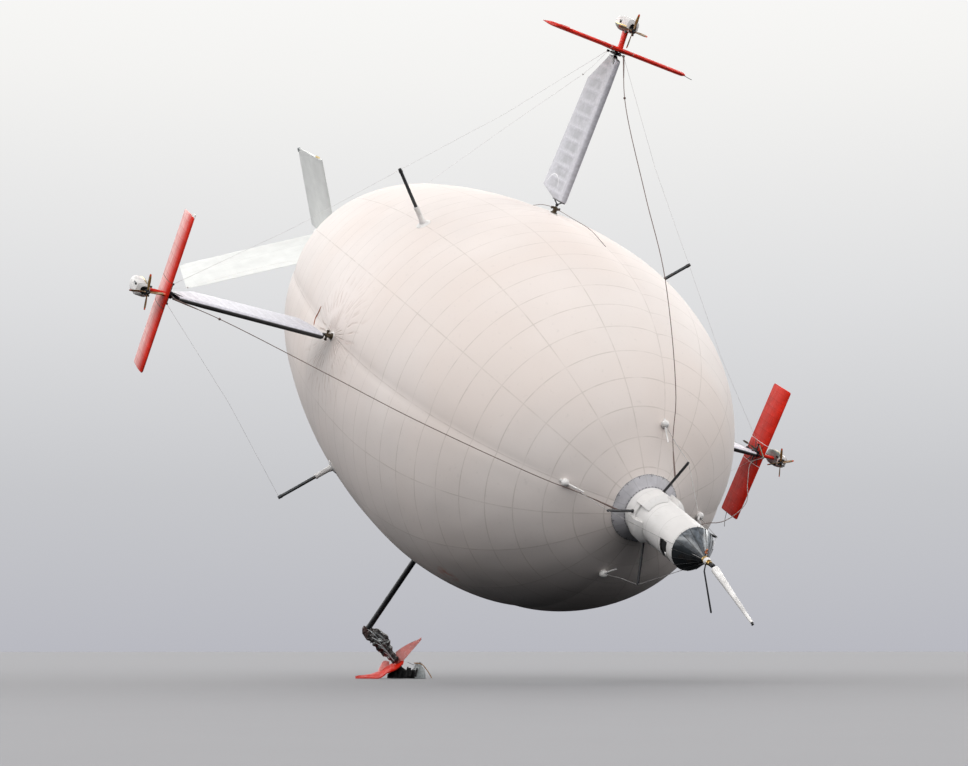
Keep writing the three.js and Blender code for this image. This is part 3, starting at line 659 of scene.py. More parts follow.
def blade_skin(name="blade_skin", arm=0, below=0, pale=1.0):
    """Doped skin over ribs, mottled between them. For the side arms, pale brightens the skin as painted
    light, and the nose's side below is painted near black as painted shade.
    """
    # pale above 1 brightens the whole skin: painted light for the side arms, whose skin faces the sky
    skin = shade(tuple(settings("arms").skin), pale)
    f = Finish(name, 0.46)
    flat = f.metres()
    u, v = f.split(flat)[:2]
    rib = f.off_line(v, 0.372)
    middle = f.times(f.between(u, 0.16, -0.05), f.between(u, -1.0, -0.55))
    panel = f.times(f.between(rib, 0.02, 0.10), middle)
    cloudy = f.times(panel, f.between(f.noise(flat, 3.1, 4.0), 0.3, 0.6, 0.25, 1.0))
    grain = f.blend(f.between(f.noise(flat, 11.0, 5.0, 0.6), 0.32, 0.68),
                    shade(skin, 0.88), shade(skin, 1.14))
    cells = f.blend(f.times(cloudy, 0.25 if below else 0.85), grain, shade(skin, 0.66))
    lined = f.blend(f.between(rib, 0.014, 0.004, 0.0, 0.2), cells, shade(skin, 1.3))
    spots = f.blend(f.between(f.noise(flat, 17.0, 5.0), 0.64, 0.8, 0.0, 0.5), lined, (0.72, 0.71, 0.70))
    bow = f.distance(flat, (-0.62, 5.60, 0.0))
    scratch = f.times(f.between(f.math("ABSOLUTE", f.math("SUBTRACT", bow, 0.42)), 0.014, 0.006),
                     f.between(v, 5.72, 5.78))
    clean = f.blend(f.times(scratch, 0.8), spots, (0.85, 0.85, 0.86))
    # Painted shade: the nose's side below, which faces the dark ground, is darkened to near black
    across = f.split(f.own_point(around(arm)))[1]
    under = f.plus(f.times(across, below), f.between(u, 0.1, 0.27, 0.0, 0.05))
    underside_shade = f.between(under, 0.0, 0.022, 0.0, abs(below) * 0.97)
    f.paint(f.blend(underside_shade, clean, (0.016, 0.015, 0.014)))
    normal = f.bump(f.noise(flat, 5.0, 3.0), 0.02, 0.4, f.bump(panel, -0.012, 0.6))
    f.bump(f.between(rib, 0.012, 0.0), 0.003, 0.6, normal)
    return f.material


def fin_cover():
    """White fin covers with rib tapes and a darker hinge line."""
    cover = tuple(settings("tail").cover)
    f = Finish("fin_cover", 0.5)
    flat = f.metres()
    u, v = f.split(flat)[:2]
    rib = f.off_line(v, 0.42)
    hinge = f.math("ABSOLUTE", f.plus(u, 15.05))
    mottle = f.mottled(flat, 1.7, cover, 0.93, 1.04)
    lined = f.blend(f.between(rib, 0.02, 0.006, 0.0, 0.06), mottle, shade(cover, 0.7))
    hinged = f.blend(f.between(hinge, 0.018, 0.006, 0.0, 0.22), lined, (0.35, 0.35, 0.34))
    f.paint(f.blend(f.between(f.noise(flat, 7.0, 6.0), 0.6, 0.8, 0.0, 0.25), hinged, (0.55, 0.53, 0.49)))
    f.bump(f.between(hinge, 0.02, 0.0), -0.008, 0.8, f.bump(f.between(rib, 0.2, 0.0), 0.008, 0.5))
    return f.material


def red_enamel(name="red_enamel", chalk_and_sheen=0.035):
    """Red enamel with rib lines, chalked in streaks along the span; the pale streaks are partly a painted
    sheen.
    """
    red = tuple(settings("arms").red)
    f = Finish(name, 0.45)
    flat = f.metres()
    u, v = f.split(flat)[:2]
    rib = f.off_line(v, 0.247)
    streaks = f.add("ShaderNodeMapping", flat, None, None, (7.0, 1.0, 1.0)).outputs[0]
    mottle = f.mottled(flat, 2.6, red, 0.8, 1.18)
    faded = f.between(f.noise(streaks, 1.8, 6.0), 0.3, 0.7, chalk_and_sheen * 0.7, chalk_and_sheen * 1.7)
    # Pale pink streaks: partly chalking, partly a painted sheen of the sky, strongest on the starboard wing
    chalk_and_sheen_mix = f.blend(f.times(faded, f.between(u, 0.24, -0.35, 0.0, 2.2)), mottle, (0.86, 0.50, 0.48))
    lined = f.blend(f.between(rib, 0.012, 0.003, 0.0, 0.3), chalk_and_sheen_mix, shade(red, 0.5))
    f.paint(f.blend(f.between(f.noise(flat, 17.0, 5.0), 0.68, 0.76, 0.0, 0.7), lined, (0.62, 0.56, 0.52)))
    f.feed(f.shader.inputs["Roughness"], f.between(f.noise(flat, 5.0, 4.0), 0.3, 0.7, 0.38, 0.55))
    f.shader.inputs["Specular IOR Level"].default_value = 0.06
    f.bump(f.between(rib, 0.1, 0.0), 0.005, 0.5, f.bump(f.noise(flat, 3.0, 3.0), 0.008, 0.4))
    return f.material


def propeller_wood():
    """Varnished laminated wood with bright tips, mapped by the radius."""
    arms = settings("arms")
    wood = tuple(arms.wood)
    f = Finish("propeller_wood", 0.3)
    flat = f.metres()
    u = f.split(flat)[0]
    grain = f.add("ShaderNodeMapping", flat, None, None, (1.0, 22.0, 1.0)).outputs[0]
    plies = f.blend(f.between(f.noise(grain, 4.0, 4.0), 0.35, 0.65), shade(wood, 0.35), shade(wood, 2.4))
    f.paint(f.blend(f.between(u, 0.415, 0.422), plies, tuple(arms.wood_tip)))
    f.shader.inputs["Coat Weight"].default_value = 0.7
    f.bump(f.noise(grain, 6.0, 3.0), 0.001, 0.5)
    return f.material


def torn_skin():
    """Sooty torn skin with pale scratches along its folds."""
    soot = tuple(settings("wreck").soot)
    f = Finish("torn_skin", 0.42, 0.2)
    point = f.own_point(HEAP)
    along = f.own_point(HEAP, (1.2, 3.0, 6.5))
    mottle = f.mottled(point, 4.0, soot, 1.0, 3.2)
    ruddy = f.blend(f.between(f.noise(point, 2.1, 3.0), 0.54, 0.7, 0.0, 0.5), mottle, (0.09, 0.022, 0.015))
    scratch = f.between(f.noise(along, 1.5, 3.0, 1.1), 0.585, 0.625, 0.0, 0.85)
    f.paint(f.blend(scratch, ruddy, (0.55, 0.58, 0.58)))
    f.bump(f.noise(point, 7.0, 4.0, 1.0), 0.05, 0.7)
    return f.material


def finish(name):
    """The finish of that name, made on its first use."""
    nose, wreck = settings("nose"), settings("wreck")
    makers = {
        "envelope_cloth": envelope_cloth, "cap_cloth": cap_cloth, "white_enamel": white_enamel,
        "cone_glass": cone_glass, "blade_skin": blade_skin, "fin_cover": fin_cover,
        "red_enamel": red_enamel, "propeller_wood": propeller_wood, "torn_skin": torn_skin,
        # Copies of the blade skin for the side arms: paler as painted light, and with painted shade on the
        # nose's side below
        "blade_skin_starboard": lambda: blade_skin(
            "blade_skin_starboard", WHOLE_ARMS["starboard"], -1, 1.38),
        "blade_skin_port": lambda: blade_skin("blade_skin_port", WHOLE_ARMS["port"], 1, 1.5),
        # The starboard wing's red, whose stronger pale streaks are partly a painted sheen
        "chalk_and_sheen_red": lambda: red_enamel("chalk_and_sheen_red", 0.36),
    }
    metals = {
        "black_enamel": (tuple(nose.black), 0.38, 0.0, (0.10, 0.095, 0.085), 0.5, 4.0),
        "post_steel": ((0.055, 0.06, 0.065), 0.4, 0.6, (0.16, 0.09, 0.05), 0.45, 6.0),
        "cable_steel": ((0.075, 0.065, 0.06), 0.5, 0.3, (0.16, 0.12, 0.09), 0.5, 9.0),
        "stay_wire": ((0.13, 0.085, 0.075), 0.6, 0.1, (0.22, 0.15, 0.12), 0.5, 9.0),
        "arm_bronze": ((0.055, 0.038, 0.02), 0.45, 0.4, (0.2, 0.12, 0.05), 0.5, 14.0),
        "post_enamel": ((0.71, 0.695, 0.69), 0.42, 0.0, (0.5, 0.47, 0.42), 0.4, 3.0),
        "tag_green": ((0.24, 0.30, 0.22), 0.5, 0.1, (0.36, 0.38, 0.30), 0.5, 14.0),
        "pale_wire": ((0.68, 0.66, 0.66), 0.5, 0.0, (0.42, 0.40, 0.38), 0.5, 9.0),
        "pale_tape": ((0.80, 0.79, 0.77), 0.5, 0.0, (0.5, 0.46, 0.42), 0.5, 8.0),
        "guy_wire": ((0.34, 0.33, 0.33), 0.5, 0.2, (0.22, 0.21, 0.2), 0.5, 9.0),
        "brass": (tuple(nose.brass), 0.3, 1.0, (0.25, 0.17, 0.07), 0.45, 14.0),
        "seam_tape": ((0.42, 0.45, 0.41), 0.5, 0.1, (0.25, 0.27, 0.24), 0.5, 8.0),
        "orange_enamel": ((0.40, 0.13, 0.05), 0.5, 0.0, (0.24, 0.10, 0.05), 0.5, 20.0),
        # Near black: painted shade behind the drum's windows, and the colour of the wrecked engine heap
        "black_and_painted_shade": ((0.008, 0.008, 0.009), 0.85, 0.0, (0.03, 0.03, 0.03), 0.5, 12.0),
        "engine_metal": ((0.10, 0.105, 0.10), 0.45, 0.5, (0.28, 0.22, 0.12), 0.5, 12.0),
        # Dark grey-green: painted shade on the nacelles' undersides
        "painted_belly_shade": ((0.17, 0.21, 0.20), 0.45, 0.1, (0.36, 0.36, 0.33), 0.4, 9.0),
        "rust": ((0.36, 0.12, 0.06), 0.8, 0.0, (0.22, 0.08, 0.05), 0.6, 20.0),
        "torn_foam": (tuple(settings("tail").foam), 0.85, 0.0, (0.36, 0.28, 0.16), 0.6, 12.0),
        "cowl_metal": (tuple(wreck.cowl), 0.45, 0.3, (0.16, 0.17, 0.17), 0.6, 6.0),
        "faded_red": ((0.66, 0.20, 0.18), 0.42, 0.0, (0.78, 0.45, 0.42), 0.6, 4.0),
        "sling_tan": ((0.45, 0.25, 0.12), 0.6, 0.0, (0.25, 0.16, 0.1), 0.5, 12.0),
    }
    if name not in FINISHES:
        FINISHES[name] = makers[name]() if name in makers else plain_metal(name, *metals[name])
    return FINISHES[name]


# Envelope
class AIRSHIP_OT_envelope(bpy.types.Operator):
    """Spins the creased envelope from its outline"""
    bl_idname = "airship.envelope"
    bl_label = "Envelope"

    def execute(self, context):
        let_go()
        count = len(ENVELOPE_CURVE)
        bpy.ops.mesh.primitive_circle_add(vertices=count, radius=1)
        skin = context.object
        skin.name = "envelope_skin"
        bpy.ops.object.mode_set(mode="EDIT")
        bpy.ops.mesh.select_all(action="DESELECT")
        line = bmesh.from_edit_mesh(skin.data)
        line.verts.ensure_lookup_table()
        line.edges.get((line.verts[0], line.verts[count - 1])).select_set(True)
        bmesh.update_edit_mesh(skin.data)
        bpy.ops.mesh.delete(type="EDGE")
        bpy.ops.mesh.select_all(action="SELECT")
        lay_ring(skin, [(p.x, 0, p.y) for p in ENVELOPE_CURVE])
        bpy.ops.mesh.spin(steps=224, angle=2 * math.pi, center=(0, 0, 0), axis=(1, 0, 0))
        bpy.ops.mesh.select_all(action="SELECT")
        bpy.ops.mesh.remove_doubles(threshold=0.0005)
        bpy.ops.mesh.normals_make_consistent(inside=False)
        bpy.ops.object.mode_set(mode="OBJECT")
        stations = [p.x for p in ENVELOPE_CURVE]
        marks = [0.0]
        for a, b in zip(reversed(ENVELOPE_CURVE), list(reversed(ENVELOPE_CURVE))[1:]):
            marks.append(marks[-1] + (b - a).length)
        marks.reverse()
        arcs = skin.data.attributes.new("arc", "FLOAT", "POINT")
        for vert in skin.data.vertices:
            x, y, z = vert.co
            arcs.data[vert.index].value = marks[min(bisect.bisect_left(stations, x - 0.0005), count - 1)]
            angle = math.atan2(-y, z)
            r = creased(math.hypot(y, z), angle)
            vert.co = (x, -r * math.sin(angle), r * math.cos(angle))
        take(skin)
        bpy.ops.object.modifier_add(type="SOLIDIFY")
        skin.modifiers[-1].thickness = settings("envelope").wall
        skin.modifiers[-1].offset = -1
        bpy.ops.object.modifier_apply(modifier=skin.modifiers[-1].name)
        skin.data.transform(HULL)
        bpy.ops.object.shade_smooth_by_angle(angle=math.radians(50))
        skin.data.materials.append(finish("envelope_cloth"))
        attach(skin, "root")
        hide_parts("envelope")
        self.stains()
        return {"FINISHED"}

    def stains(self):
        """A streak of rust across the starboard arm's plane."""
        route = [envelope_at(x, a) * 1.001 for x, a in
                 ((-1.72, 86.0), (-1.75, 87.9), (-1.85, 89.4), (-1.9, 90.9), (-1.75, 93.0))]
        streak = swept("rust_streak", smooth_route(route, 14), [0.004] + [0.016] * 12 + [0.004], 6)
        finished(streak, HULL, "rust", "root")


class AIRSHIP_OT_caps(bpy.types.Operator):
    """Models the end caps with their battens and lacing"""
    bl_idname = "airship.caps"
    bl_label = "End caps"

    def execute(self, context):
        for name, reach, side in (("nose_cap", 0.47, 1), ("tail_cap", 0.5, -1)):
            outline = list(reversed(ENVELOPE_CURVE)) if side > 0 else list(ENVELOPE_CURVE)
            marks, line = 0.0, [outline[0]]
            for a, b in zip(outline, outline[1:]):
                marks += (b - a).length
                line.append(b)
                if marks > reach:
                    break
            line = smooth_route(line, 9)
            rings = []
            for lift, run in ((0.022, line), (0.004, list(reversed(line)))):
                for k, p in enumerate(run):
                    ahead = (run[min(k + 1, len(run) - 1)] - run[max(k - 1, 0)]).normalized()
                    out = Vector((-ahead.y, ahead.x, 0))
                    out = out if out.y > 0 or out.x * side > 0 else -out
                    edge = 0.4 if (k in (0, len(run) - 1) and lift > 0.01) else 1.0
                    station, radius = p.x + out.x * lift * edge, p.y + out.y * lift * edge
                    rings.append(creased_hoop(station, radius, full_turn(96)))
            cloth = unfilled(drawn(name + "_cloth", rings + [rings[0]]))
            finished(cloth, HULL, "cap_cloth", "root", [name], 50)
            self.battens(name, line[-1], line[-2], side)
        return {"FINISHED"}

    def battens(self, name, rim, inside, side):
        """Short battens across the rim and a stitched rope along it."""
        slope = (rim - inside).normalized()
        battens = []
        for k in range(16):
            angle = math.radians(11.25 + 22.5 * k)
            radius = creased(rim.y, angle)
            ends = [(rim.x - slope.x * 0.05 * s + 0.028 * side, 0, radius + slope.y * 0.05 * -s)
                    for s in (1, -0.4)]
            batten = swept("batten", ends, 0.005, 6)
            batten.data.transform(Matrix.Rotation(angle, 4, "X"))
            battens.append(batten)
        finished(joined(name + "_battens", battens), HULL, "black_enamel", "root")
        stitches = []
        for k in range(64):
            turn = [2 * math.pi * (k + t) / 64 for t in (0.22, 0.5, 0.78)]
            stitches.append(swept("stitch", creased_hoop(rim.x + 0.022 * side, rim.y, turn), 0.0045, 5))
        finished(joined(name + "_rim_rope", stitches), HULL, "cable_steel", "root")


# Nose
class AIRSHIP_OT_drum(bpy.types.Operator):
    """Models the nose drum with its collar, fairings and windows"""
    bl_idname = "airship.drum"
    bl_label = "Nose drum"

    # A fairing's stations: radius, half of its spread in degrees
    FAIRING = (
        (9.895, 0.62, 28.0), (9.90, 0.664, 28.7), (9.912, 0.674, 29), (10.244, 0.675, 29),
        (10.256, 0.669, 29), (10.392, 0.574, 29), (10.40, 0.56, 28.6))

    def execute(self, context):
        drum = turned("nose_drum_shell", [
            (9.712, 0.02), (9.712, 0.42), (9.66, 0.52), (9.625, 0.57), (9.62, 0.588), (9.635, 0.599),
            (10.03, 0.60), (10.05, 0.594), (10.06, 0.575), (10.064, 0.548), (10.08, 0.54), (11.74, 0.54),
            (11.745, 0.546), (11.795, 0.546), (11.80, 0.54), (11.80, 0.528), (10.6, 0.528), (9.81, 0.528),
            (9.80, 0.5), (9.80, 0.02)], 96)
        for angle in WINDOWS.values():
            drum = carved(drum, around_axis("window_hole", 11.27, 11.555, 0.4, 0.7, angle, 28))
        finished(drum, HULL, "white_enamel", "root", ["nose_drum"], 28)
        for side, angle in WINDOWS.items():
            # Painted shade: a near-black sheet behind each window stands for the shade inside the drum
            shade_sheet = around_axis("window_shade_sheet_" + side, 11.265, 11.56, 0.50, 0.512, angle, 28.6)
            finished(shade_sheet, HULL, "black_and_painted_shade", "root")
            bars = [around_axis("bar", start, end, 0.53, 0.545, angle + off, half)
                    for start, end, off, half in (
                        (11.262, 11.27, 0, 28.8), (11.555, 11.563, 0, 28.8),
                        (11.265, 11.56, -28.4, 0.45), (11.265, 11.56, 28.4, 0.45))]
            finished(joined("window_frame_" + side, bars), HULL, "cable_steel", "root")
            latch = around_axis("window_latch_" + side, 11.46, 11.556, 0.512, 0.548,
                                angle + math.copysign(7, angle), 4.0)
            finished(latch, HULL, "white_enamel", "root")
        fairings = []
        for angle in (38, 128, 218, 308):
            rings = []
            for x, radius, half in self.FAIRING:
                turn = spread(angle, half, 12)
                rings.append(hoop(x, radius, turn) + hoop(x, 0.535, reversed(turn)))
            fairings.append(drawn("fairing", rings))
        finished(joined("collar_fairings", fairings), HULL, "white_enamel", "root", (), 26)
        laces = []
        for k in range(44):
            turn = [2 * math.pi * (k + t) / 44 for t in (0.2, 0.5, 0.75)]
            laces.append(swept("lace", hoop(9.622, 0.618, turn), 0.006, 5))
        finished(joined("collar_lacing", laces), HULL, "black_enamel", "root")
        return {"FINISHED"}


class AIRSHIP_OT_cone(bpy.types.Operator):
    """Models the glazed cone, its ribs, the spindle and its fittings"""
    bl_idname = "airship.cone"
    bl_label = "Glazed cone"

    def execute(self, context):
        glass = turned("cone_panes", [
            (11.802, 0.534), (11.803, 0.542), (11.83, 0.54), (12.0, 0.412), (12.2, 0.25),
            (12.398, 0.074), (12.398, 0.066), (12.2, 0.241), (12.0, 0.402), (11.83, 0.528),
            (11.81, 0.526), (11.802, 0.53)], 96)
        finished(bridged(glass), HULL, "cone_glass", "root", ["nose_glass"], 40)
        ribs = []
        count = settings("nose").ribs
        for k in range(count):
            rib = swept("rib", [(11.80, 0, 0.546), (11.84, 0, 0.541), (12.1, 0, 0.337), (12.40, 0, 0.078)],
                        [0.006, 0.006, 0.005, 0.004], 6)
            rib.data.transform(Matrix.Rotation(2 * math.pi * (k + 0.5) / count, 4, "X"))
            ribs.append(rib)
        finished(joined("cone_ribs", ribs), HULL, "black_enamel", "root")
        rim = bridged(turned("cone_rim", [
            (11.80, 0.534), (11.80, 0.547), (11.822, 0.547), (11.824, 0.534), (11.801, 0.531)], 96))
        finished(rim, HULL, "white_enamel", "root")
        spindle = turned("spindle_rings", [
            (12.40, 0.02), (12.40, 0.094), (12.425, 0.094), (12.43, 0.06), (12.545, 0.055),
            (12.55, 0.066), (12.575, 0.066), (12.58, 0.044), (12.60, 0.044), (12.603, 0.056),
            (12.64, 0.056), (12.648, 0.042), (12.65, 0.02)], 32)
        finished(spindle, HULL, "brass", "root", ["mooring_spindle"])
        ball = globe("spindle_ball", (12.49, 0, 0), 0.09, 28)
        finished(ball, HULL, "white_enamel", "root")
        lamp = joined("orange_fitting", [
            swept("lamp", [(12.33, 0, 0.15), (12.335, 0, 0.215), (12.34, 0, 0.23)],
                  [0.025, 0.025, 0.012], 14),
            block("foot", (12.29, -0.03, 0.12), (12.37, 0.03, 0.155), 0.006)])
        finished(lamp, HULL, "orange_enamel", "root")
        rod = swept("hanging_rod", [(12.47, 0.01, -0.075), (12.50, 0.03, -0.24), (12.87, 0.37, -1.03),
                                    (12.876, 0.376, -1.05)], [0.014, 0.018, 0.022, 0.008], 10)
        finished(rod, HULL, "black_enamel", "root")
        return {"FINISHED"}


class AIRSHIP_OT_mooring(bpy.types.Operator):
    """Models the mooring fork and the tapered pole"""
    bl_idname = "airship.mooring"
    bl_label = "Mooring pole"

    def execute(self, context):
        cheeks = [block("cheek", (12.69, inner, -0.038), (12.78, inner + 0.019, 0.038), 0.006)
                  for inner in (0.027, -0.046)]
        shaft = turned("shaft", [
            (12.651, 0.02), (12.651, 0.036), (12.66, 0.04), (12.69, 0.04), (12.70, 0.03)], 24)
        web = block("web", (12.685, -0.046, -0.038), (12.702, 0.046, 0.038), 0.004)
        finished(joined("mooring_fork", cheeks + [shaft, web]), UPRIGHT, "black_enamel",
                 "swivel", ["mooring_swivel"])
        pole = turned("pole_tube", [
            (0.098, 0.02), (0.10, 0.05), (0.115, 0.078), (0.14, 0.088), (0.2, 0.092), (0.6, 0.074),
            (1.1, 0.056), (1.93, 0.036), (1.965, 0.033), (1.97, 0.02)], 32)
        finished(pole, POLE, "post_enamel", "pole", ["mooring_pole"])
        lug = joined("pole_lug", [
            swept("pin", [(0, -0.044, 0), (0, 0.044, 0)], 0.0138, 20),
            block("tongue", (-0.026, -0.017, -0.026), (0.105, 0.017, 0.026), 0.008),
            turned("tip", [(1.965, 0.02), (1.968, 0.03), (1.985, 0.03), (1.99, 0.022), (2.029, 0.022),
                           (2.03, 0.018)], 20),
            block("hook", (1.988, -0.012, -0.045), (2.02, 0.012, -0.01), 0.005)])
        finished(lug, POLE, "black_enamel", "pole")
        return {"FINISHED"}


class AIRSHIP_OT_struts(bpy.types.Operator):
    """Models the four nose struts and the four balls on stands"""
    bl_idname = "airship.struts"
    bl_label = "Struts and balls"

    def execute(self, context):
        struts = []
        for angle in CREASES.values():
            strut = joined("strut", [
                swept("tube", [strut_at(r) for r in (0.50, 0.615, 0.63, 0.635, 1.56, 1.575, 1.598)],
                      [0.044, 0.044, 0.042, 0.033, 0.033, 0.03, 0.02], 16),
                block("lug", strut_at(1.575) - Vector((0.035, 0.012, 0.02)),
                      strut_at(1.575) + Vector((0.035, 0.012, 0.02)), 0.005)])
            strut.data.transform(Matrix.Rotation(math.radians(angle), 4, "X"))
            struts.append(strut)
        finished(joined("strut_tubes", struts), HULL, "black_enamel", "root",
                 ["nose_struts"])
        for name, angle in CREASES.items():
            stand = envelope_at(8.82, 0)
            ball = joined("nose_ball_" + name + "_shell", [
                globe("shell", (BALL_STATION, 0, BALL_RADIUS), 0.1, 28),
                swept("arm", [(BALL_STATION + 0.06, 0, BALL_RADIUS - 0.05), (9.10, 0, 1.86),
                              (9.34, 0, 1.68)], [0.026, 0.022, 0.017], 10),
                swept("stand", [(BALL_STATION, 0, BALL_RADIUS - 0.06), stand + Vector((0, 0, 0.03)), stand],
                      [0.026, 0.022, 0.05], 12)])
            finished(ball, around(angle), "post_enamel", "root",
                     ["nose_ball_" + name])
        return {"FINISHED"}


# Tail
class AIRSHIP_OT_tail(bpy.types.Operator):
    """Models the tail bearing, the boom and the four fins"""
    bl_idname = "airship.tail"
    bl_label = "Tail"

    def execute(self, context):
        bearing = turned("bearing_cone", [
            (-10.98, 0.5), (-11.0, 0.53), (-11.03, 0.545), (-11.08, 0.54), (-11.10, 0.515),
            (-11.40, 0.395), (-11.41, 0.36), (-11.47, 0.36), (-11.499, 0.345), (-11.499, 0.02)], 56)
        finished(bearing, HULL, "white_enamel", "root", ["tail_bearing"])
        boom = turned("boom_tube", [
            (-11.505, 0.02), (-11.505, 0.318), (-11.515, 0.329), (-11.60, 0.327), (-11.605, 0.322),
            (-12.3, 0.296), (-12.305, 0.302), (-12.36, 0.30), (-12.365, 0.294), (-13.1, 0.265),
            (-14.6, 0.205), (-15.70, 0.161), (-15.705, 0.164), (-15.86, 0.157), (-15.865, 0.154),
            (-15.995, 0.149), (-16.0, 0.14), (-16.0, 0.02)], 56)
        finished(boom, HULL, "white_enamel", "tail", ["tail_boom"])
        for name, (angle, shape) in FINS.items():
            steps = (0.012, 0.1, 0.3, 0.5, 0.7, 0.86, 0.95, 0.985, 1.0)
            rings = [self.fin_ring(shape, step, shape is BROKEN_FIN) for step in steps]
            fin = laid_flat(drawn("fin_" + name, rings), 0, 2)
            finished(fin, around(angle), "fin_cover", "tail", ["tail_fin_" + name])
        self.torn_edge(around(FINS["starboard_upper"][0]))
        return {"FINISHED"}

    def fin_ring(self, shape, step, torn):
        """One section of a fin, from its root at 0 to its slanted tip at 1."""
        (root_front, root_back), (front, front_height), (back, back_height) = shape
        edge = max(0.0, step - 0.86) / 0.14
        inset = 0.0 if torn else 0.10 * edge ** 3
        nose = root_front + (front - root_front) * step - inset
        tail = root_back + (back - root_back) * step + inset
        slim = 0.11 * (1 - 0.1 * step) * (1 if torn else 1 - 0.75 * edge ** 4)
        slope = (front_height - back_height) / (front - back)

        def place(x, y):
            tip = back_height + slope * (x - back)
            if torn:
                notch = math.exp(-((x + 14.1) / 0.16) ** 2)
                tip -= 0.02 * edge * (1 + math.sin(x * 9.0)) + 0.05 * edge * notch
            return Vector((x, y, 0.15 + (tip - 0.15) * step))

        return section(nose, tail, slim, place, 12)

    def torn_edge(self, place):
        """Torn core and a crushed corner along the broken fin's edge."""
        core = swept("fin_torn_core", [
            (-13.86, 0, 3.23), (-13.9, 0, 3.265), (-14.0, 0.005, 3.285), (-14.1, 0, 3.27),
            (-14.22, -0.005, 3.275), (-14.28, 0, 3.24)], [0.01, 0.03, 0.042, 0.04, 0.036, 0.012], 10)
        finished(core, place, "torn_foam", "tail")
        stubs = [swept("stub", [(x, 0, 2.9), (x + 0.01, 0.01, 3.12 + rise), (x - 0.02, 0, 3.2 + rise)],
                       [0.02, 0.018, 0.004], 6)
                 for x, rise in ((-13.7, 0.07), (-14.16, 0.04), (-15.3, 0.0))]
        finished(joined("fin_spar_stubs", stubs), place, "cable_steel", "tail")
        corner = joined("fin_crushed_corner", [
            swept("crumple", [(x, 0, z) for x, z in route], [0.02, 0.045, 0.035, 0.01], 8)
            for route in (((-16.22, 3.05), (-16.3, 3.1), (-16.4, 3.09), (-16.47, 3.06)),
                          ((-16.44, 2.95), (-16.43, 3.02), (-16.44, 3.08), (-16.42, 3.115)))])
        finished(corner, place, "cowl_metal", "tail")


class AIRSHIP_OT_posts(bpy.types.Operator):
    """Models the posts between the arms"""
    bl_idname = "airship.posts"
    bl_label = "Posts"

    def execute(self, context):
        for name, angle in POSTS.items():
            foot = envelope_at(0, angle).length
            sleeve = swept("post_sleeve_" + name, [(0, 0, r) for r in (
                foot - 0.02, foot + 0.012, foot + 0.02, foot + 0.05, foot + 0.16, 5.62, 5.63, 5.68, 5.682)],
                [0.21, 0.205, 0.19, 0.10, 0.074, 0.07, 0.08, 0.08, 0.05], 28)
            finished(sleeve, around(angle), "post_enamel", "root", ["post_" + name])
            tube = swept("post_tube_" + name, [(0, 0, r) for r in (
                5.66, 5.665, 6.74, 6.742, 6.80, 6.802, 6.85, 6.86)],
                [0.03, 0.047, 0.045, 0.054, 0.054, 0.048, 0.048, 0.046], 20)
            finished(tube, around(angle), "post_steel", "root")
        return {"FINISHED"}


# Arms
class AIRSHIP_OT_arm_roots(bpy.types.Operator):
    """Models the crossed feet of the arms, and the lines along the upper crease"""
    bl_idname = "airship.arm_roots"
    bl_label = "Arm feet"

    def execute(self, context):
        for name, angle in ALL_ARMS.items():
            # Painted highlight: a white ring at each arm's foot stands for a glint on the fitting
            glint_flange = swept("foot_glint_flange_" + name, [(0, 0, 4.96), (0, 0, 5.018), (0, 0, 5.024)],
                           [0.135, 0.135, 0.125], 28)
            finished(glint_flange, around(angle), "post_enamel", "root")
            parts = [
                swept("post", [(0, 0, r) for r in (4.98, 5.02, 5.055, 5.06, 5.14, 5.2, 5.202, 5.222)],
                      [0.11, 0.105, 0.09, 0.066, 0.06, 0.055, 0.036, 0.032], 20),
                block("bar", (-0.14, -0.024, 5.142), (0.14, 0.024, 5.193), 0.01),
                block("bar", (-0.024, -0.14, 5.142), (0.024, 0.14, 5.193), 0.01)]
            for x, y in ((0.122, 0), (-0.122, 0), (0, 0.122), (0, -0.122)):
                parts.append(swept("eye", [(x, y, 5.13), (x, y, 5.20)], 0.028, 10))
            finished(joined("foot_" + name, parts), around(angle), "arm_bronze", "root",
                     ["root_" + name])
        lines = []
        for route in (((0.13, 5.165), (1.1, 5.158), (2.23, 5.14), (3.3, None)),
                      ((-0.13, 5.165), (-0.5, 5.12), (-0.89, 5.05), (-1.4, None), (-2.2, None))):
            points = [Vector((x, 0, z)) if z else envelope_at(x, 0) * 1.0015 for x, z in route]
            lines.append(swept("line", smooth_route(points, 16), 0.008, 6))
        finished(joined("limb_lines", lines), around(0), "stay_wire", "root")
        return {"FINISHED"}


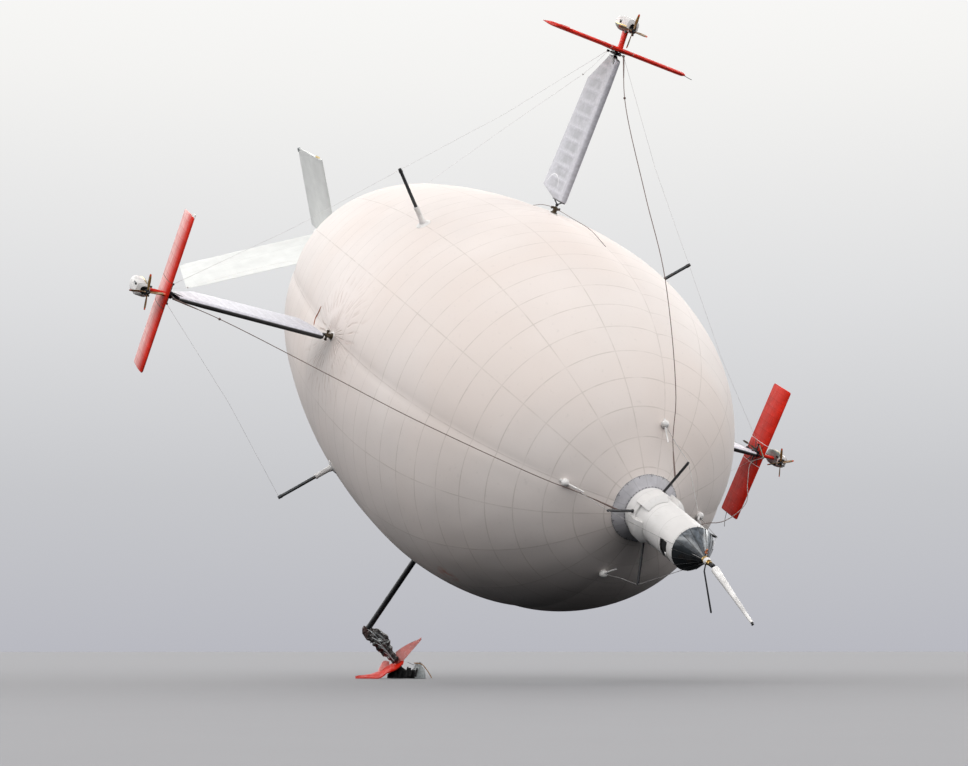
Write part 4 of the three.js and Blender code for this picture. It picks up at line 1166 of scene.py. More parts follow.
class AIRSHIP_OT_blades(bpy.types.Operator):
    """Models the blades with their spars and end forks"""
    bl_idname = "airship.blades"
    bl_label = "Blades"

    # Steps up the blade below and above its knee: share of the height, share of the thickness
    LOWER_STEPS = ((0, 0.7), (0.004, 0.95), (0.02, 1), (0.25, 1), (0.5, 1), (0.75, 1), (0.98, 1))
    UPPER_STEPS = ((0, 1), (0.1, 0.98), (0.55, 0.88), (0.96, 0.78), (0.992, 0.74), (1, 0.5))

    def height(self, row, x):
        """Height of one of the blade's rows at a station."""
        front, kink, back = row
        (x0, z0), (x1, z1) = ((BLADE_FRONT, front), kink) if x > kink[0] else (kink, back)
        return z0 + (z1 - z0) * (x - x0) / (x1 - x0)

    def skin_ring(self, lower, upper, step, slim):
        """A section between two of the blade's rows: a round spar in front and a thin tail."""
        back = lower[2][0] + (upper[2][0] - lower[2][0]) * step
        line = [(BLADE_FRONT - BLADE_NOSE * (1 - math.cos(a)), BLADE_NOSE * math.sin(a))
                for a in [math.pi * k / 16 for k in range(8)]]
        for t in [k / 12 for k in range(13)]:
            x = BLADE_FRONT - BLADE_NOSE
            line.append((x + (back - x) * t, BLADE_NOSE * (1 - 0.45 * t - 0.5 * t ** 2)))
        return [Vector((x, half * slim, self.height(lower, x) * (1 - step) + self.height(upper, x) * step))
                for x, half in line + [(x, -half) for x, half in reversed(line[1:])]]

    def execute(self, context):
        for name, angle in WHOLE_ARMS.items():
            rings = [self.skin_ring(BLADE_FOOT, BLADE_KNEE, *pair) for pair in self.LOWER_STEPS]
            rings += [self.skin_ring(BLADE_KNEE, BLADE_HEAD, *pair) for pair in self.UPPER_STEPS]
            skin = laid_flat(drawn("blade_skin_" + name, rings), 0, 2)
            coat = "blade_skin" if name == "upper" else "blade_skin_" + name
            finished(skin, around(angle), coat, "blade_" + name,
                     ["blade_" + name, "spar_" + name], 30)
            bar = [(x, self.height(BLADE_HEAD, x) + 0.001) for x in (0.31, -0.064, -0.24)]
            parts = [
                block("sill", (-0.30, -0.048, 5.377), (0.33, 0.048, 5.4035), 0.006),
                swept("strut", [(0.23, 0, 5.39), (0.02, 0, 5.285)], [0.022, 0.018], 10),
                swept("strut", [(-0.26, 0, 5.39), (-0.02, 0, 5.285)], [0.022, 0.018], 10),
                globe("pivot", (0, 0, 5.27), 0.046, 18),
                drawn("cap", [[(x, -0.045, z), (x, 0.045, z), (x, 0.045, z + 0.014), (x, -0.045, z + 0.014)]
                              for x, z in bar]),
                swept("neck", [(0, 0, 9.615), (0, 0, 9.635), (0, 0, 9.664)], [0.06, 0.046, 0.045], 16)]
            for s in (1, -1):
                parts.append(drawn("fork", [
                    [(x - w, s * y, z), (x + w, s * y, z + w * 0.4), (x + w, s * (y + 0.008), z + w * 0.4),
                     (x - w, s * (y + 0.008), z)] for x, y, z, w in (
                        (0.20, 0.061, 9.40, 0.008), (0.19, 0.064, 9.44, 0.03), (0.12, 0.064, 9.51, 0.035),
                        (0.04, 0.06, 9.58, 0.035), (-0.01, 0.047, 9.635, 0.05))]))
            finished(joined("blade_ends_" + name, parts), around(angle), "black_enamel",
                     "blade_" + name)
        return {"FINISHED"}


class AIRSHIP_OT_heads(bpy.types.Operator):
    """Models the arms' heads with their stays, the guys and the wires of the struts"""
    bl_idname = "airship.heads"
    bl_label = "Heads and stays"

    def execute(self, context):
        radius = settings("arms").cable
        for name, angle in WHOLE_ARMS.items():
            parts = [
                block("block", (-0.15, -0.09, HEAD_FOOT), (0.15, 0.09, HEAD_TOP), 0.014),
                block("beam", (-0.48, -0.022, 9.695), (0.48, 0.022, 9.725), 0.006),
                block("beam", (-0.022, -0.288, 9.695), (0.022, 0.288, 9.725), 0.006),
                block("web", (-0.3, -0.01, 9.67), (0.3, 0.01, 9.70), 0.003)]
            for x, y in ((0.46, 0), (-0.46, 0), (0, 0.27), (0, -0.27)):
                parts.append(swept("eye", [(x, y, 9.672), (x, y, 9.738)], 0.028, 10))
            finished(joined("head_cross_" + name, parts), around(angle), "black_enamel",
                     "root", ["head_" + name])
            fore = smooth_route([(0.48, 0, 9.70), (1.39, 0, 8.66), (4.18, 0, 6.65), (6.5, 0, 5.06),
                                 (8.97, 0, 2.64), (9.45, 0, 1.83), (10.135, 0, 1.10)], 40)
            stay = joined("fore_stay_" + name, [
                swept("cable", fore, radius, 8),
                swept("socket", fore[:3], [0.024, 0.02, 0.014], 10),
                globe("knot", fore[4], 0.036, 12),
                swept("socket", fore[-3:], [0.014, 0.02, 0.022], 10)])
            finished(stay, around(angle), "stay_wire", "root", ["stay_" + name])
            aft = smooth_route([(-0.46, 0, 9.70), (-1.19, 0, 8.97), (-1.85, 0, 8.5), (-6.2, 0, 5.45),
                                (-9.35, 0, 3.06), (-10.75, 0, 1.35), (-11.25, 0, 0.47)], 36)
            wire = joined("aft_stay_" + name, [
                swept("cable", aft, 0.003, 6),
                globe("knot", aft[3], 0.026, 12)])
            finished(wire, around(angle), "pale_wire", "root")
        fittings = joined("head_turnbuckle_port", [
            swept("bottle", [(x, y, 9.69) for x, y in (
                (-0.79, -0.10), (-0.74, -0.10), (-0.72, -0.105), (-0.52, -0.115), (-0.50, -0.115),
                (-0.28, -0.11), (-0.26, -0.11), (-0.12, -0.105), (0.02, -0.13))],
                [0.008, 0.012, 0.03, 0.034, 0.012, 0.014, 0.03, 0.03, 0.012], 10),
            swept("hanger", [(-0.40, -0.11, 9.69), (-0.40, -0.02, 9.70)], 0.012, 8)])
        finished(fittings, around(WHOLE_ARMS["port"]), "arm_bronze", "root")
        bar = swept("head_bar_port", [(0.03, -0.262, 9.735), (0.455, -0.01, 9.735)], 0.016, 8)
        finished(bar, around(WHOLE_ARMS["port"]), "tag_green", "root")
        guys = []
        for name, posts in (("upper", (45, 315)), ("starboard", (45, 135)), ("port", (315, 225))):
            arm = WHOLE_ARMS[name]
            a = math.radians(arm)
            for post in posts:
                p = math.radians(post)
                side = 1 if (post - arm) % 360 < 180 else -1
                start = Matrix.Rotation(a, 4, "X") @ Vector((0, -0.27 * side, 9.70))
                end = Vector((0, -6.83 * math.sin(p), 6.83 * math.cos(p)))
                guys.append(swept("guy", [start, start.lerp(end, 0.5) * 0.985, end], 0.0035, 6))
        finished(joined("side_guys", guys), HULL, "pale_wire", "root")
        wires = []
        for name, angle in CREASES.items():
            out = Matrix.Rotation(math.radians(angle), 4, "X")
            end = out @ strut_at(1.59)
            ball = out @ Vector((BALL_STATION + 0.05, 0, BALL_RADIUS - 0.02))
            near = out @ Vector((12.41, 0, 0.085))
            wires.append(swept("wire", [end, end.lerp(near, 0.5), near], 0.0065, 6))
            wires.append(swept("wire", [end, end.lerp(ball, 0.5) * 0.995, ball], 0.0065, 6))
        finished(joined("strut_wires", wires), HULL, "guy_wire", "root")
        return {"FINISHED"}


class AIRSHIP_OT_wings(bpy.types.Operator):
    """Models the cross wings with their pylons"""
    bl_idname = "airship.wings"
    bl_label = "Cross wings"

    # The section and the tape round a seam: front, back, thickness
    SECTION = (0.316, -0.645, 0.12)
    TAPE = (0.318, -0.646, 0.125)
    SEAMS = (-0.353, 0.353)

    # Half of the span from its tip inwards: distance from the middle, inset, share of the thickness
    HALF_SPAN = (
        (2.157, 0.05, 0.35), (2.143, 0.02, 0.75), (2.11, 0.004, 0.97), (1.3, 0, 1),
        (0.362, 0, 1), (0.356, 0.008, 0.88), (0.35, 0.008, 0.88), (0.344, 0, 1))

    # Pylon from below: height, front, back, thickness
    PYLON = (
        (9.84, 0.25, -0.07, 0.14), (9.885, 0.225, -0.042, 0.12), (10.05, 0.205, -0.055, 0.11),
        (10.2, 0.197, -0.085, 0.10), (10.31, 0.192, -0.11, 0.095), (10.345, 0.19, -0.12, 0.1))

    def wing_ring(self, y, front, back, thickness):
        """A section across the wing."""
        return section(front, back, thickness, lambda x, z: Vector((x, y, WING_MIDDLE + z)), 14)

    def execute(self, context):
        front, back, thickness = self.SECTION
        span = [(-y, inset, slim) for y, inset, slim in self.HALF_SPAN] + list(reversed(self.HALF_SPAN))
        for name, angle in WHOLE_ARMS.items():
            rings = [self.wing_ring(y, front - inset, back + inset, thickness * slim)
                     for y, inset, slim in span]
            wing = laid_flat(drawn("wing_panels_" + name, rings), 0, 1)
            # The starboard wing's paler streaks are partly a painted sheen
            coat = "chalk_and_sheen_red" if name == "starboard" else "red_enamel"
            finished(wing, around(angle), coat, "tip_" + name, ["wing_" + name], 28)
            pylon = drawn("pylon", [
                section(nose, tail, depth, lambda x, y, h=height: Vector((x, y, h)), 12)
                for height, nose, tail, depth in self.PYLON])
            pylon = laid_flat(pylon, 0, 2)
            finished(pylon, around(angle), "red_enamel", "tip_" + name, (), 28)
            pylon.name = "pylon_" + name
            tapes = [drawn("tape", [self.wing_ring(y + d, *self.TAPE) for d in (-0.007, 0.007)])
                     for y in self.SEAMS]
            tape = {"upper": "seam_tape", "starboard": "arm_bronze", "port": "pale_tape"}[name]
            finished(joined("seam_tapes_" + name, tapes), around(angle), tape, "tip_" + name)
            braces = [swept("pivot", [(0, 0, 9.7555), (0, 0, 9.79), (0, 0, 9.83)],
                            [0.046, 0.046, 0.09], 16)]
            for x in (0.2, -0.32):
                for y in (-0.34, 0.34):
                    ends = [(x * 0.3, y * 0.12, 9.77), (x, y, WING_MIDDLE - 0.045)]
                    braces.append(swept("brace", ends, 0.014, 8))
            finished(joined("wing_braces_" + name, braces), around(angle), "black_enamel",
                     "tip_" + name)
        self.tip_marks()
        return {"FINISHED"}

    def tip_marks(self):
        """A torn corner, pale partly as a painted glint, a curled edge and trailing wires at the wings'
        ends.
        """
        # Painted highlight: the torn corner's pale colour is partly a glint, partly torn cloth
        corner = drawn("torn_corner_glint", [
            [(0.29, y, 9.82), (0.305, y, 9.85 + lift), (0.17, y, 9.885 + lift), (0.15, y, 9.86)]
            for y, lift in ((2.03, 0.0), (2.09, 0.006), (2.14, 0.0))])
        finished(corner, around(90), "pale_tape", "tip_starboard")
        curl = drawn("curled_edge", [
            [(0.31, y, 9.82), (0.312, y, 9.85 + rise), (0.14, y, 9.885 + rise), (0.13, y, 9.85)]
            for y, rise in ((-2.155, -0.025), (-1.95, 0.02), (-1.7, 0.028), (-1.58, -0.02))])
        finished(laid_flat(curl, 0, 1), around(0), "red_enamel", "tip_upper")
        wires = (("upper", (0.02, 2.14, 9.835), (0.08, 2.40, 9.80), (0.02, 2.55, 9.79)),
                 ("port", (-0.3, 2.14, 9.83), (-0.2, 2.34, 9.80), (-0.05, 2.56, 9.78)))
        for name, *route in wires:
            wire = swept("tip_wire_" + name, smooth_route(route, 9), 0.009, 6)
            finished(wire, around(WHOLE_ARMS[name]), "cable_steel", "tip_" + name)


class AIRSHIP_OT_nacelles(bpy.types.Operator):
    """Models the nacelles with their slots, bellies in painted shade, and exhausts"""
    bl_idname = "airship.nacelles"
    bl_label = "Nacelles"

    # Rows of the shell: station, half width, half height, rise of the middle
    ROWS = ((-0.43, 0.08, 0.07, 0.03), (-0.424, 0.10, 0.09, 0.03), (-0.36, 0.168, 0.148, 0.01),
            (-0.28, 0.19, 0.17, 0.006), (-0.15, 0.22, 0.20, 0), (0.0, 0.22, 0.20, 0), (0.15, 0.22, 0.20, 0),
            (0.25, 0.198, 0.189, -0.005), (0.34, 0.18, 0.18, -0.01), (0.37, 0.135, 0.142, -0.048),
            (0.38, 0.12, 0.13, -0.06))

    # Fins of a cylinder: distance from the middle, radius
    COOLING = (
        (0.09, 0.04), (0.105, 0.05), (0.106, 0.04), (0.115, 0.04), (0.116, 0.05), (0.13, 0.05),
        (0.131, 0.04), (0.14, 0.04), (0.141, 0.048), (0.155, 0.044))

    def ring(self, row, inset, start=0.0, sweep=2 * math.pi, sides=40):
        """Points round one row of the shell, or along part of it."""
        station, width, height, rise = row
        points = []
        for j in range(sides):
            a = start + sweep * j / (sides if sweep > 6 else sides - 1)
            y = math.copysign(abs(math.cos(a)) ** 0.7, math.cos(a)) * (width - inset)
            z = math.copysign(abs(math.sin(a)) ** 0.7, math.sin(a)) * (height - inset)
            points.append(Vector((station, y, NACELLE_AXIS + rise + z)))
        return points

    def strip(self, name, lift, start, sweep, sides):
        """A thin strip that lies along the shell."""
        return drawn(name, [self.ring(row, -lift, start, sweep, sides)
                            + list(reversed(self.ring(row, 0, start, sweep, sides)))
                            for row in self.ROWS[2:9]])

    def execute(self, context):
        for name, angle in WHOLE_ARMS.items():
            shell = drawn("nacelle_shell_" + name,
                          [self.ring(row, 0) for row in self.ROWS]
                          + [self.ring(row, 0.012) for row in reversed(self.ROWS)])
            shell = bridged(shell)
            shell = carved(shell, block("slot", (0.10, 0.06, 10.66), (0.30, 0.10, 10.80), 0.004))
            shell = carved(shell, block("hatch", (-0.06, -0.4, 10.52), (0.06, -0.15, 10.62), 0.004))
            shell = carved(shell, swept("hole", [(0.18, 0.4, 10.47), (0.18, 0.12, 10.47)], 0.045, 20))
            finished(shell, around(angle), "white_enamel", "tip_" + name,
                     ["nacelle_" + name], 30)
            # Painted shade: a dark grey-green strip over the lower half stands for the shaded underside
            shaded_belly = self.strip("nacelle_belly_" + name, 0.004, math.pi * 1.06, math.pi * 0.88, 18)
            finished(shaded_belly, around(angle), "painted_belly_shade", "tip_" + name)
            trim = [self.strip("band", 0.006, math.pi * start, sweep, 4)
                    for start, sweep in ((1.03, 0.1), (1.97, -0.1))]
            finished(joined("nacelle_bands_" + name, trim), around(angle), "brass", "tip_" + name)
            self.engine(name, angle)
        return {"FINISHED"}

    def engine(self, name, angle):
        """The engine block inside a nacelle, and the pipes that come out."""
        parts = [
            block("case", (-0.24, -0.10, 10.40), (0.29, 0.10, 10.60), 0.02),
            swept("nose", [(0.28, 0, 10.42), (0.33, 0, 10.42), (0.335, 0, 10.42), (0.394, 0, 10.42)],
                  [0.075, 0.062, 0.045, 0.034], 20),
            block("foot", (-0.18, -0.12, 10.354), (-0.10, 0.12, 10.41), 0.008),
            block("foot", (0.14, -0.12, 10.354), (0.22, 0.12, 10.41), 0.008)]
        for x in (-0.16, -0.03, 0.10, 0.23):
            for s in (1, -1):
                parts.append(swept("cylinder", [(x, s * away, 10.51) for away, _ in self.COOLING],
                                   [radius for _, radius in self.COOLING], 14))
        finished(joined("engine_block_" + name, parts), around(angle), "engine_metal",
                 "tip_" + name, ["engine_" + name])
        pipes = []
        for s in (1, -1):
            bend = smooth_route([(0.22, s * 0.10, 10.38), (0.28, s * 0.12, 10.35),
                                 (0.30, s * 0.125, 10.30)], 8)
            pipes.append(swept("stub", bend, [0.026] * 7 + [0.024], 10))
        pipes.append(block("scoop", (0.09, 0.105, 10.715), (0.31, 0.13, 10.742), 0.006))
        pipes.append(swept("keel", [(-0.40, 0, 10.43), (-0.30, 0, 10.352), (0.035, 0, 10.336)], 0.012, 8))
        pipes.append(swept("grille", [(-0.434, 0, 10.49), (-0.434, 0, 10.65)], 0.012, 8))
        finished(joined("nacelle_pipes_" + name, pipes), around(angle), "post_steel",
                 "tip_" + name)


class AIRSHIP_OT_propellers(bpy.types.Operator):
    """Models the four-bladed propellers with their hubs"""
    bl_idname = "airship.propellers"
    bl_label = "Propellers"

    # A blade from its root outwards: radius, chord, thickness, twist in degrees
    BLADE = (
        (0.03, 0.05, 0.044, 62), (0.07, 0.05, 0.04, 58), (0.12, 0.062, 0.026, 48),
        (0.2, 0.072, 0.02, 38), (0.28, 0.074, 0.016, 31), (0.36, 0.068, 0.012, 26),
        (0.44, 0.056, 0.009, 22), (0.47, 0.042, 0.007, 20), (0.481, 0.02, 0.004, 19))

    def blade_ring(self, radius, chord, thickness, twist):
        """A section of a blade, turned by its twist."""
        turn = math.radians(twist)

        def place(c, d):
            return Vector((0.45 + c * math.sin(turn) + d * math.cos(turn),
                           c * math.cos(turn) - d * math.sin(turn), radius))

        return section(chord / 2, -chord / 2, thickness, place, 8)

    def execute(self, context):
        for name, angle in WHOLE_ARMS.items():
            blades = []
            for k in range(4):
                blade = laid_flat(drawn("blade", [self.blade_ring(*row) for row in self.BLADE]), 2, 1)
                turn = math.pi / 2 * k + math.radians(PROPELLER_TURNS[name])
                blade.data.transform(Matrix.Translation((0, 0, PROPELLER_AXIS))
                                     @ Matrix.Rotation(turn, 4, "X"))
                blades.append(blade)
            finished(joined("propeller_blades_" + name, blades), around(angle), "propeller_wood",
                     "propeller_" + name, ["propeller_" + name], 30)
            hub = turned("propeller_hub_" + name, [
                (0.396, 0.02), (0.396, 0.052), (0.402, 0.06), (0.43, 0.062), (0.435, 0.05), (0.465, 0.05),
                (0.47, 0.062), (0.492, 0.06), (0.496, 0.03), (0.52, 0.028), (0.542, 0.014)], 28)
            hub.data.transform(Matrix.Translation((0, 0, PROPELLER_AXIS)))
            finished(hub, around(angle), "black_enamel", "propeller_" + name)
        return {"FINISHED"}


# Wreck of the lower arm
class AIRSHIP_OT_wreck(bpy.types.Operator):
    """Models the crushed lower arm and the heap under it"""
    bl_idname = "airship.wreck"
    bl_label = "Crushed arm"

    # The tube from its foot: distance, radius
    TUBE = (
        (0, 0.06), (0.02, 0.083), (0.9, 0.083), (0.902, 0.086), (0.94, 0.086), (0.942, 0.083),
        (1.95, 0.083), (1.952, 0.086), (2.0, 0.086), (2.002, 0.083), (2.8, 0.083), (2.98, 0.084),
        (2.985, 0.088), (3.06, 0.088), (3.08, 0.07))

    def execute(self, context):
        lean = Vector((-0.137, 0.174, 1)).normalized()
        start = Vector((0, 0, 5.305))
        tube = joined("crushed_tube", [
            swept("tube", [start + lean * run for run, _ in self.TUBE], [r for _, r in self.TUBE], 28),
            swept("neck", [(0, 0, 5.232), (0, 0, 5.25), (0, 0, 5.32)], [0.04, 0.046, 0.05], 16)])
        finished(tube, around(ALL_ARMS["lower"]), "black_enamel", "root", ["spar_lower"])
        self.folded_wing()
        self.crumpled_skin(start + lean * self.TUBE[-1][0], lean)
        self.engine_heap()
        return {"FINISHED"}

    def plate(self, name, stations, thickness, cuts):
        """A sheet from pairs of edge points across the heap, dented a little."""
        near = smooth_route([(x, y, z) for x, y, z, _, _ in stations], 18)
        far = smooth_route([(x, y, z) for x, _, _, y, z in stations], 18)
        rings = []
        for k, (a, b) in enumerate(zip(near, far)):
            ring = []
            for j in range(cuts + 1):
                t = j / cuts
                dent = 0.018 * math.sin(k * 1.9 + j * 2.3) + 0.012 * math.sin(k * 0.7 - j * 1.1)
                dent *= min(1, 4 * t, 4 - 4 * t)
                ring.append(a.lerp(b, t) + Vector((0, 0, thickness + 0.02 * math.sin(math.pi * t) + dent)))
            ring += [a.lerp(b, 1 - j / cuts) for j in range(cuts + 1)]
            rings.append(ring)
        return laid_flat(drawn(name, rings), 0, 1)

    def folded_wing(self):
        """The red wing across the heap, with its torn tip and flap."""
        wing = self.plate("wreck_red_wing", (
            (-0.80, -0.06, 0.0, 0.0, 0.01), (-0.355, -0.33, 0.005, 0.18, 0.10),
            (-0.06, -0.42, 0.01, 0.26, 0.22), (0.16, -0.40, 0.16, 0.30, 0.37),
            (0.378, -0.33, 0.24, 0.32, 0.46), (0.596, -0.18, 0.41, 0.26, 0.49)), 0.035, 7)
        finished(wing, HEAP, "red_enamel", "root", ["wreck_wing"], 24)
        tip = self.plate("wreck_torn_tip", (
            (0.36, 0.12, 0.42, 0.22, 0.76), (0.56, 0.06, 0.50, 0.24, 0.90),
            (0.80, 0.08, 0.76, 0.22, 1.03), (1.11, 0.14, 1.12, 0.17, 1.155)), 0.01, 5)
        finished(tip, HEAP, "faded_red", "root", (), 24)
        flap = self.plate("wreck_torn_flap", (
            (-0.15, 0.15, 0.15, 0.26, 0.23), (0.0, 0.16, 0.23, 0.30, 0.48),
            (0.17, 0.18, 0.33, 0.30, 0.47)), 0.025, 4)
        finished(flap, HEAP, "faded_red", "root", (), 24)

    def crumpled_skin(self, end, lean):
        """A ribbed sleeve of dark skin that sags off the tube and folds over."""
        down = HEAP.inverted() @ around(ALL_ARMS["lower"])
        top = down @ end
        ahead = (down @ (end + lean) - top).normalized()
        route = smooth_route([
            top, top + ahead * 0.12, (-0.22, top.y, 1.22), (0.06, 0.12, 0.85), (0.39, 0.04, 0.50)], 34)
        rings = []
        for k, centre in enumerate(route):
            t = k / (len(route) - 1)
            along = (route[min(k + 1, 33)] - route[max(k - 1, 0)]).normalized()
            across = Vector((0, 1, 0)).cross(along).normalized()
            through = along.cross(across)
            swell = 0.11 + 0.115 * math.sin(math.pi * min(t * 1.15, 1)) ** 1.5 + 0.02 * math.sin(t * 46)
            ring = []
            for a in full_turn(36):
                crush = (1 + 0.10 * math.sin(3 * a + t * 9) + 0.07 * math.sin(5 * a - t * 17)
                         + 0.05 * math.sin(9 * a + t * 31))
                r = swell * crush * (0.62 if k in (0, 33) else 1)
                ring.append(centre + across * r * 1.05 * math.cos(a) + through * r * 0.88 * math.sin(a))
            rings.append(ring)
        finished(drawn("wreck_crumpled_skin", rings), HEAP, "torn_skin", "root",
                 ["wreck_skin"], 24)
        strips = []
        for k, (x, z, reach) in enumerate((
                (-0.45, 1.42, 0.3), (-0.34, 1.2, 0.34), (-0.2, 1.02, 0.36), (-0.06, 0.9, 0.3),
                (-0.26, 1.34, 0.36), (0.04, 0.76, 0.3))):
            bend = smooth_route([(x, -0.10 - 0.02 * k, z), (x + reach * 0.5, -0.16, z - 0.10),
                                 (x + reach, -0.10, z - 0.27)], 7)
            strips.append(swept("strip", bend, [0.006, 0.014, 0.02, 0.02, 0.018, 0.012, 0.004], 5))
        finished(joined("wreck_skin_strips", strips), HEAP, "cowl_metal", "root")

    def lump(self, name, rows, floor):
        """A jagged body through uneven rows: across, depth, half depth, height."""
        rings = []
        for k, (x, depth, half, height) in enumerate(rows):
            ring = []
            for j in range(20):
                a = math.pi * j / 19
                rough = 1 + 0.13 * math.sin(j * 2.9 + k * 1.7) + 0.09 * math.sin(j * 5.3 - k * 2.3)
                top = floor + height * math.sin(a) ** 0.8 * rough
                ring.append((x, depth - half * math.cos(a), max(floor, top)))
            rings.append(ring)
        return drawn(name, rings)

    def engine_heap(self):
        """The crumpled engine with its cowl, and a pipe and a wire on it."""
        heap = self.lump("heap", (
            (0.12, 0.18, 0.12, 0.10), (0.22, 0.18, 0.19, 0.20), (0.30, 0.18, 0.23, 0.27),
            (0.40, 0.18, 0.24, 0.30), (0.51, 0.18, 0.25, 0.34), (0.58, 0.18, 0.25, 0.28),
            (0.66, 0.18, 0.24, 0.20), (0.74, 0.18, 0.24, 0.26), (0.82, 0.18, 0.24, 0.20),
            (0.90, 0.18, 0.25, 0.26), (0.99, 0.18, 0.2, 0.16), (1.06, 0.18, 0.16, 0.11)), 0.01)
        bits = [block("bit", (x, y, 0.02), (x + w, y + d, z), 0.012) for x, y, w, d, z in (
            (0.44, -0.10, 0.09, 0.12, 0.36), (0.62, -0.08, 0.07, 0.16, 0.24),
            (0.72, -0.12, 0.10, 0.14, 0.31), (0.86, -0.06, 0.08, 0.12, 0.25),
            (0.33, -0.12, 0.08, 0.1, 0.2))]
        bits += [swept("pipe", [(x, -0.16, 0.06), (x + 0.05, -0.1, h)], [0.03, 0.022], 10)
                 for x, h in ((0.5, 0.3), (0.68, 0.34), (0.79, 0.22), (0.95, 0.3))]
        finished(joined("wreck_engine_heap", [heap] + bits), HEAP, "black_and_painted_shade", "root",
                 ["wreck_engine"], 24)
        cowl = self.lump("wreck_cowl", (
            (0.86, 0.16, 0.12, 0.16), (0.90, 0.16, 0.2, 0.34), (0.96, 0.17, 0.25, 0.42),
            (1.04, 0.18, 0.26, 0.42), (1.12, 0.18, 0.24, 0.37), (1.19, 0.18, 0.19, 0.27),
            (1.24, 0.18, 0.12, 0.16)), 0.005)
        finished(cowl, HEAP, "cowl_metal", "root", (), 24)
        pipe = swept("wreck_pipe", smooth_route([
            (0.90, 0.0, 0.45), (1.13, -0.02, 0.41), (1.27, 0.0, 0.26), (1.38, 0.02, 0.09),
            (1.42, 0.02, 0.015)], 20), 0.014, 8)
        finished(pipe, HEAP, "sling_tan", "root")
        wire = swept("wreck_wire", smooth_route([
            (0.70, 0.0, 0.48), (0.9, -0.02, 0.40), (1.0, 0.02, 0.47), (0.98, 0.1, 0.36)], 12), 0.008, 6)
        finished(wire, HEAP, "guy_wire", "root")


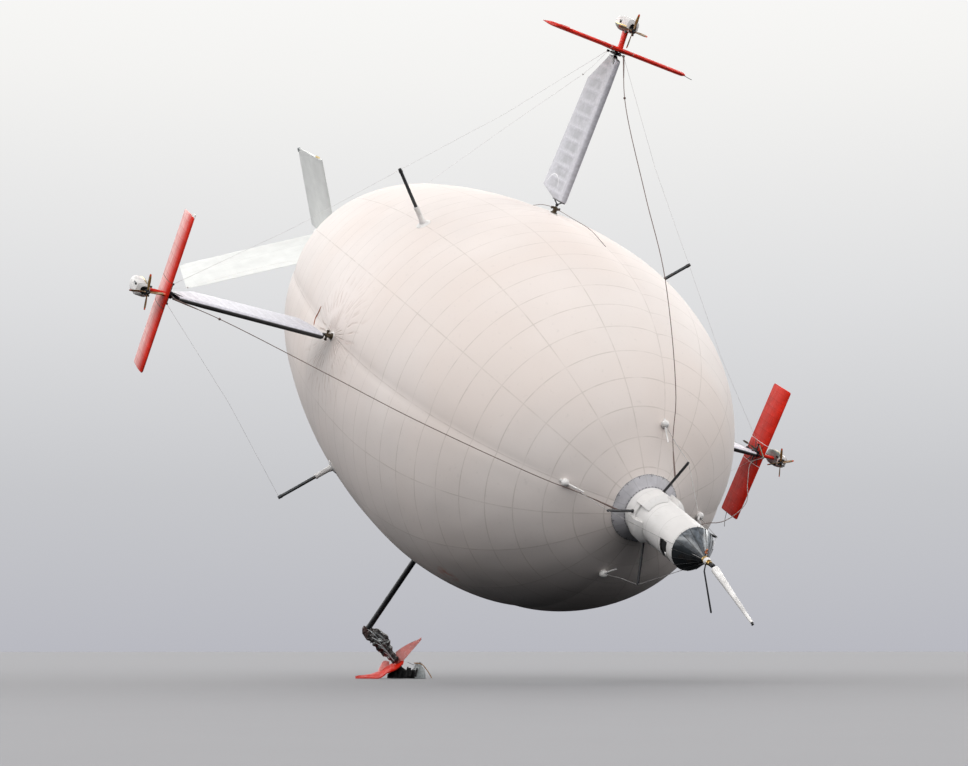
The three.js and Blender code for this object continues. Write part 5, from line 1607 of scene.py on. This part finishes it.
# Stage
class AIRSHIP_OT_stage(bpy.types.Operator):
    """Lays the floor and sets the lights and the camera"""
    bl_idname = "airship.stage"
    bl_label = "Stage"

    FLOOR_SIZE = 1600

    # Where the view is taken from, its axes, and its lens in picture elements
    PLACE = (45.263, -22.05, -7.646)
    RIGHT = (0.43516, 0.90035, 0.00013)
    FORWARD = (-0.89052, 0.43039, 0.14743)
    LENS = 1792.466
    PICTURE_WIDTH = 968
    SENSOR = 36

    # The sky by its elevation in degrees: tint, brightness
    SKY = ((-90, (0.9, 0.95, 1.0), 0.01), (-2, (0.9, 0.95, 1.0), 0.02), (-0.5, (0.90, 0.91, 1.0), 0.53),
           (5, (0.95, 0.96, 1.0), 0.60), (11, (0.98, 0.985, 1.0), 0.75), (18, (1.0, 0.995, 0.98), 0.90),
           (22, (1.0, 0.995, 0.98), 0.96), (23, (1.0, 0.995, 0.98), 4.0), (35, (1.0, 0.995, 0.98), 4.0),
           (40, (1.0, 0.99, 0.98), 0.5), (90, (1.0, 0.99, 0.98), 0.15))

    def execute(self, context):
        stage = settings("stage")
        let_go()
        bpy.ops.mesh.primitive_plane_add(size=self.FLOOR_SIZE, location=(0, 0, GROUND))
        floor = context.object
        floor.name = "studio_floor"
        floor.visible_diffuse = False
        floor.visible_glossy = False
        f = Finish("studio_floor", 0.85)
        tone = tuple(stage.floor)
        f.paint(f.blend(f.noise(f.own_point(), 0.6, 3.0), shade(tone, 0.985), shade(tone, 1.015)))
        floor.data.materials.append(f.material)
        world = bpy.data.worlds.new("studio_light")
        world.use_nodes = True
        context.scene.world = world
        tree = world.node_tree
        point = tree.nodes.new("ShaderNodeTexCoord")
        parts = tree.nodes.new("ShaderNodeSeparateXYZ")
        ramp = tree.nodes.new("ShaderNodeValToRGB")
        tree.links.new(point.outputs["Generated"], parts.inputs[0])
        rise = tree.nodes.new("ShaderNodeMapRange")
        rise.inputs["From Min"].default_value = -1.0
        tree.links.new(parts.outputs[2], rise.inputs["Value"])
        tree.links.new(rise.outputs[0], ramp.inputs[0])
        stops = ramp.color_ramp.elements
        stops.remove(stops[1])
        for elevation, tone, bright in self.SKY:
            stop = stops[0] if elevation == -90 else stops.new((math.sin(math.radians(elevation)) + 1) / 2)
            stop.color = (*shade(tone, bright / stage.band), 1)
        tree.links.new(ramp.outputs[0], tree.nodes["Background"].inputs[0])
        tree.nodes["Background"].inputs[1].default_value = stage.band
        self.lamp("key_light", (12, -16, 42), stage.key, 60, (1.0, 0.98, 0.95))
        context.scene.view_settings.view_transform = "Standard"
        self.camera(context)
        return {"FINISHED"}

    def lamp(self, name, place, strength, softness, tint):
        bpy.ops.object.light_add(type="SUN", location=place)
        lamp = bpy.context.object
        lamp.name = name
        lamp.rotation_euler = (-Vector(place)).to_track_quat("-Z", "Y").to_euler()
        lamp.data.energy = strength
        lamp.data.angle = math.radians(softness)
        lamp.data.color = tint

    def camera(self, context):
        bpy.ops.object.camera_add()
        camera = context.object
        camera.name = "photo_camera"
        right = Vector(self.RIGHT).normalized()
        forward = Vector(self.FORWARD).normalized()
        up = right.cross(forward)
        turn = Matrix((right, up, -forward)).transposed().to_4x4()
        camera.matrix_world = Matrix.Translation(self.PLACE) @ turn
        camera.data.sensor_width = self.SENSOR
        camera.data.lens = self.LENS / self.PICTURE_WIDTH * self.SENSOR
        camera.data.clip_end = 3000
        context.scene.camera = camera


class AIRSHIP_PT_panel(bpy.types.Panel):
    bl_label = "Airship"
    bl_idname = "AIRSHIP_PT_panel"
    bl_space_type = "VIEW_3D"
    bl_region_type = "UI"
    bl_category = "Airship"

    def draw(self, context):
        for part, group in SETTINGS.items():
            column = self.layout.column(align=True)
            column.label(text=part.title())
            for name in group.__annotations__:
                column.prop(settings(part), name)
        for operator in OPERATORS:
            self.layout.operator(operator.bl_idname)


SETTINGS = {
    "envelope": AirshipEnvelopeSettings, "nose": AirshipNoseSettings, "tail": AirshipTailSettings,
    "arms": AirshipArmSettings, "wreck": AirshipWreckSettings, "stage": AirshipStageSettings,
}
OPERATORS = (
    AIRSHIP_OT_stage, AIRSHIP_OT_envelope, AIRSHIP_OT_caps, AIRSHIP_OT_drum, AIRSHIP_OT_cone,
    AIRSHIP_OT_mooring, AIRSHIP_OT_struts, AIRSHIP_OT_tail, AIRSHIP_OT_posts, AIRSHIP_OT_arm_roots,
    AIRSHIP_OT_blades, AIRSHIP_OT_heads, AIRSHIP_OT_wings, AIRSHIP_OT_nacelles, AIRSHIP_OT_propellers,
    AIRSHIP_OT_wreck,
)
CLASSES = (*SETTINGS.values(), *OPERATORS, AIRSHIP_PT_panel)


def register():
    for item in CLASSES:
        bpy.utils.register_class(item)
    for part, group in SETTINGS.items():
        setattr(bpy.types.Scene, "airship_" + part, bpy.props.PointerProperty(type=group))


def unregister():
    for part in SETTINGS:
        delattr(bpy.types.Scene, "airship_" + part)
    for item in reversed(CLASSES):
        bpy.utils.unregister_class(item)


def main():
    register()
    for operator in OPERATORS:
        family, name = operator.bl_idname.split(".")
        getattr(getattr(bpy.ops, family), name)()


if __name__ == "__main__":
    main()
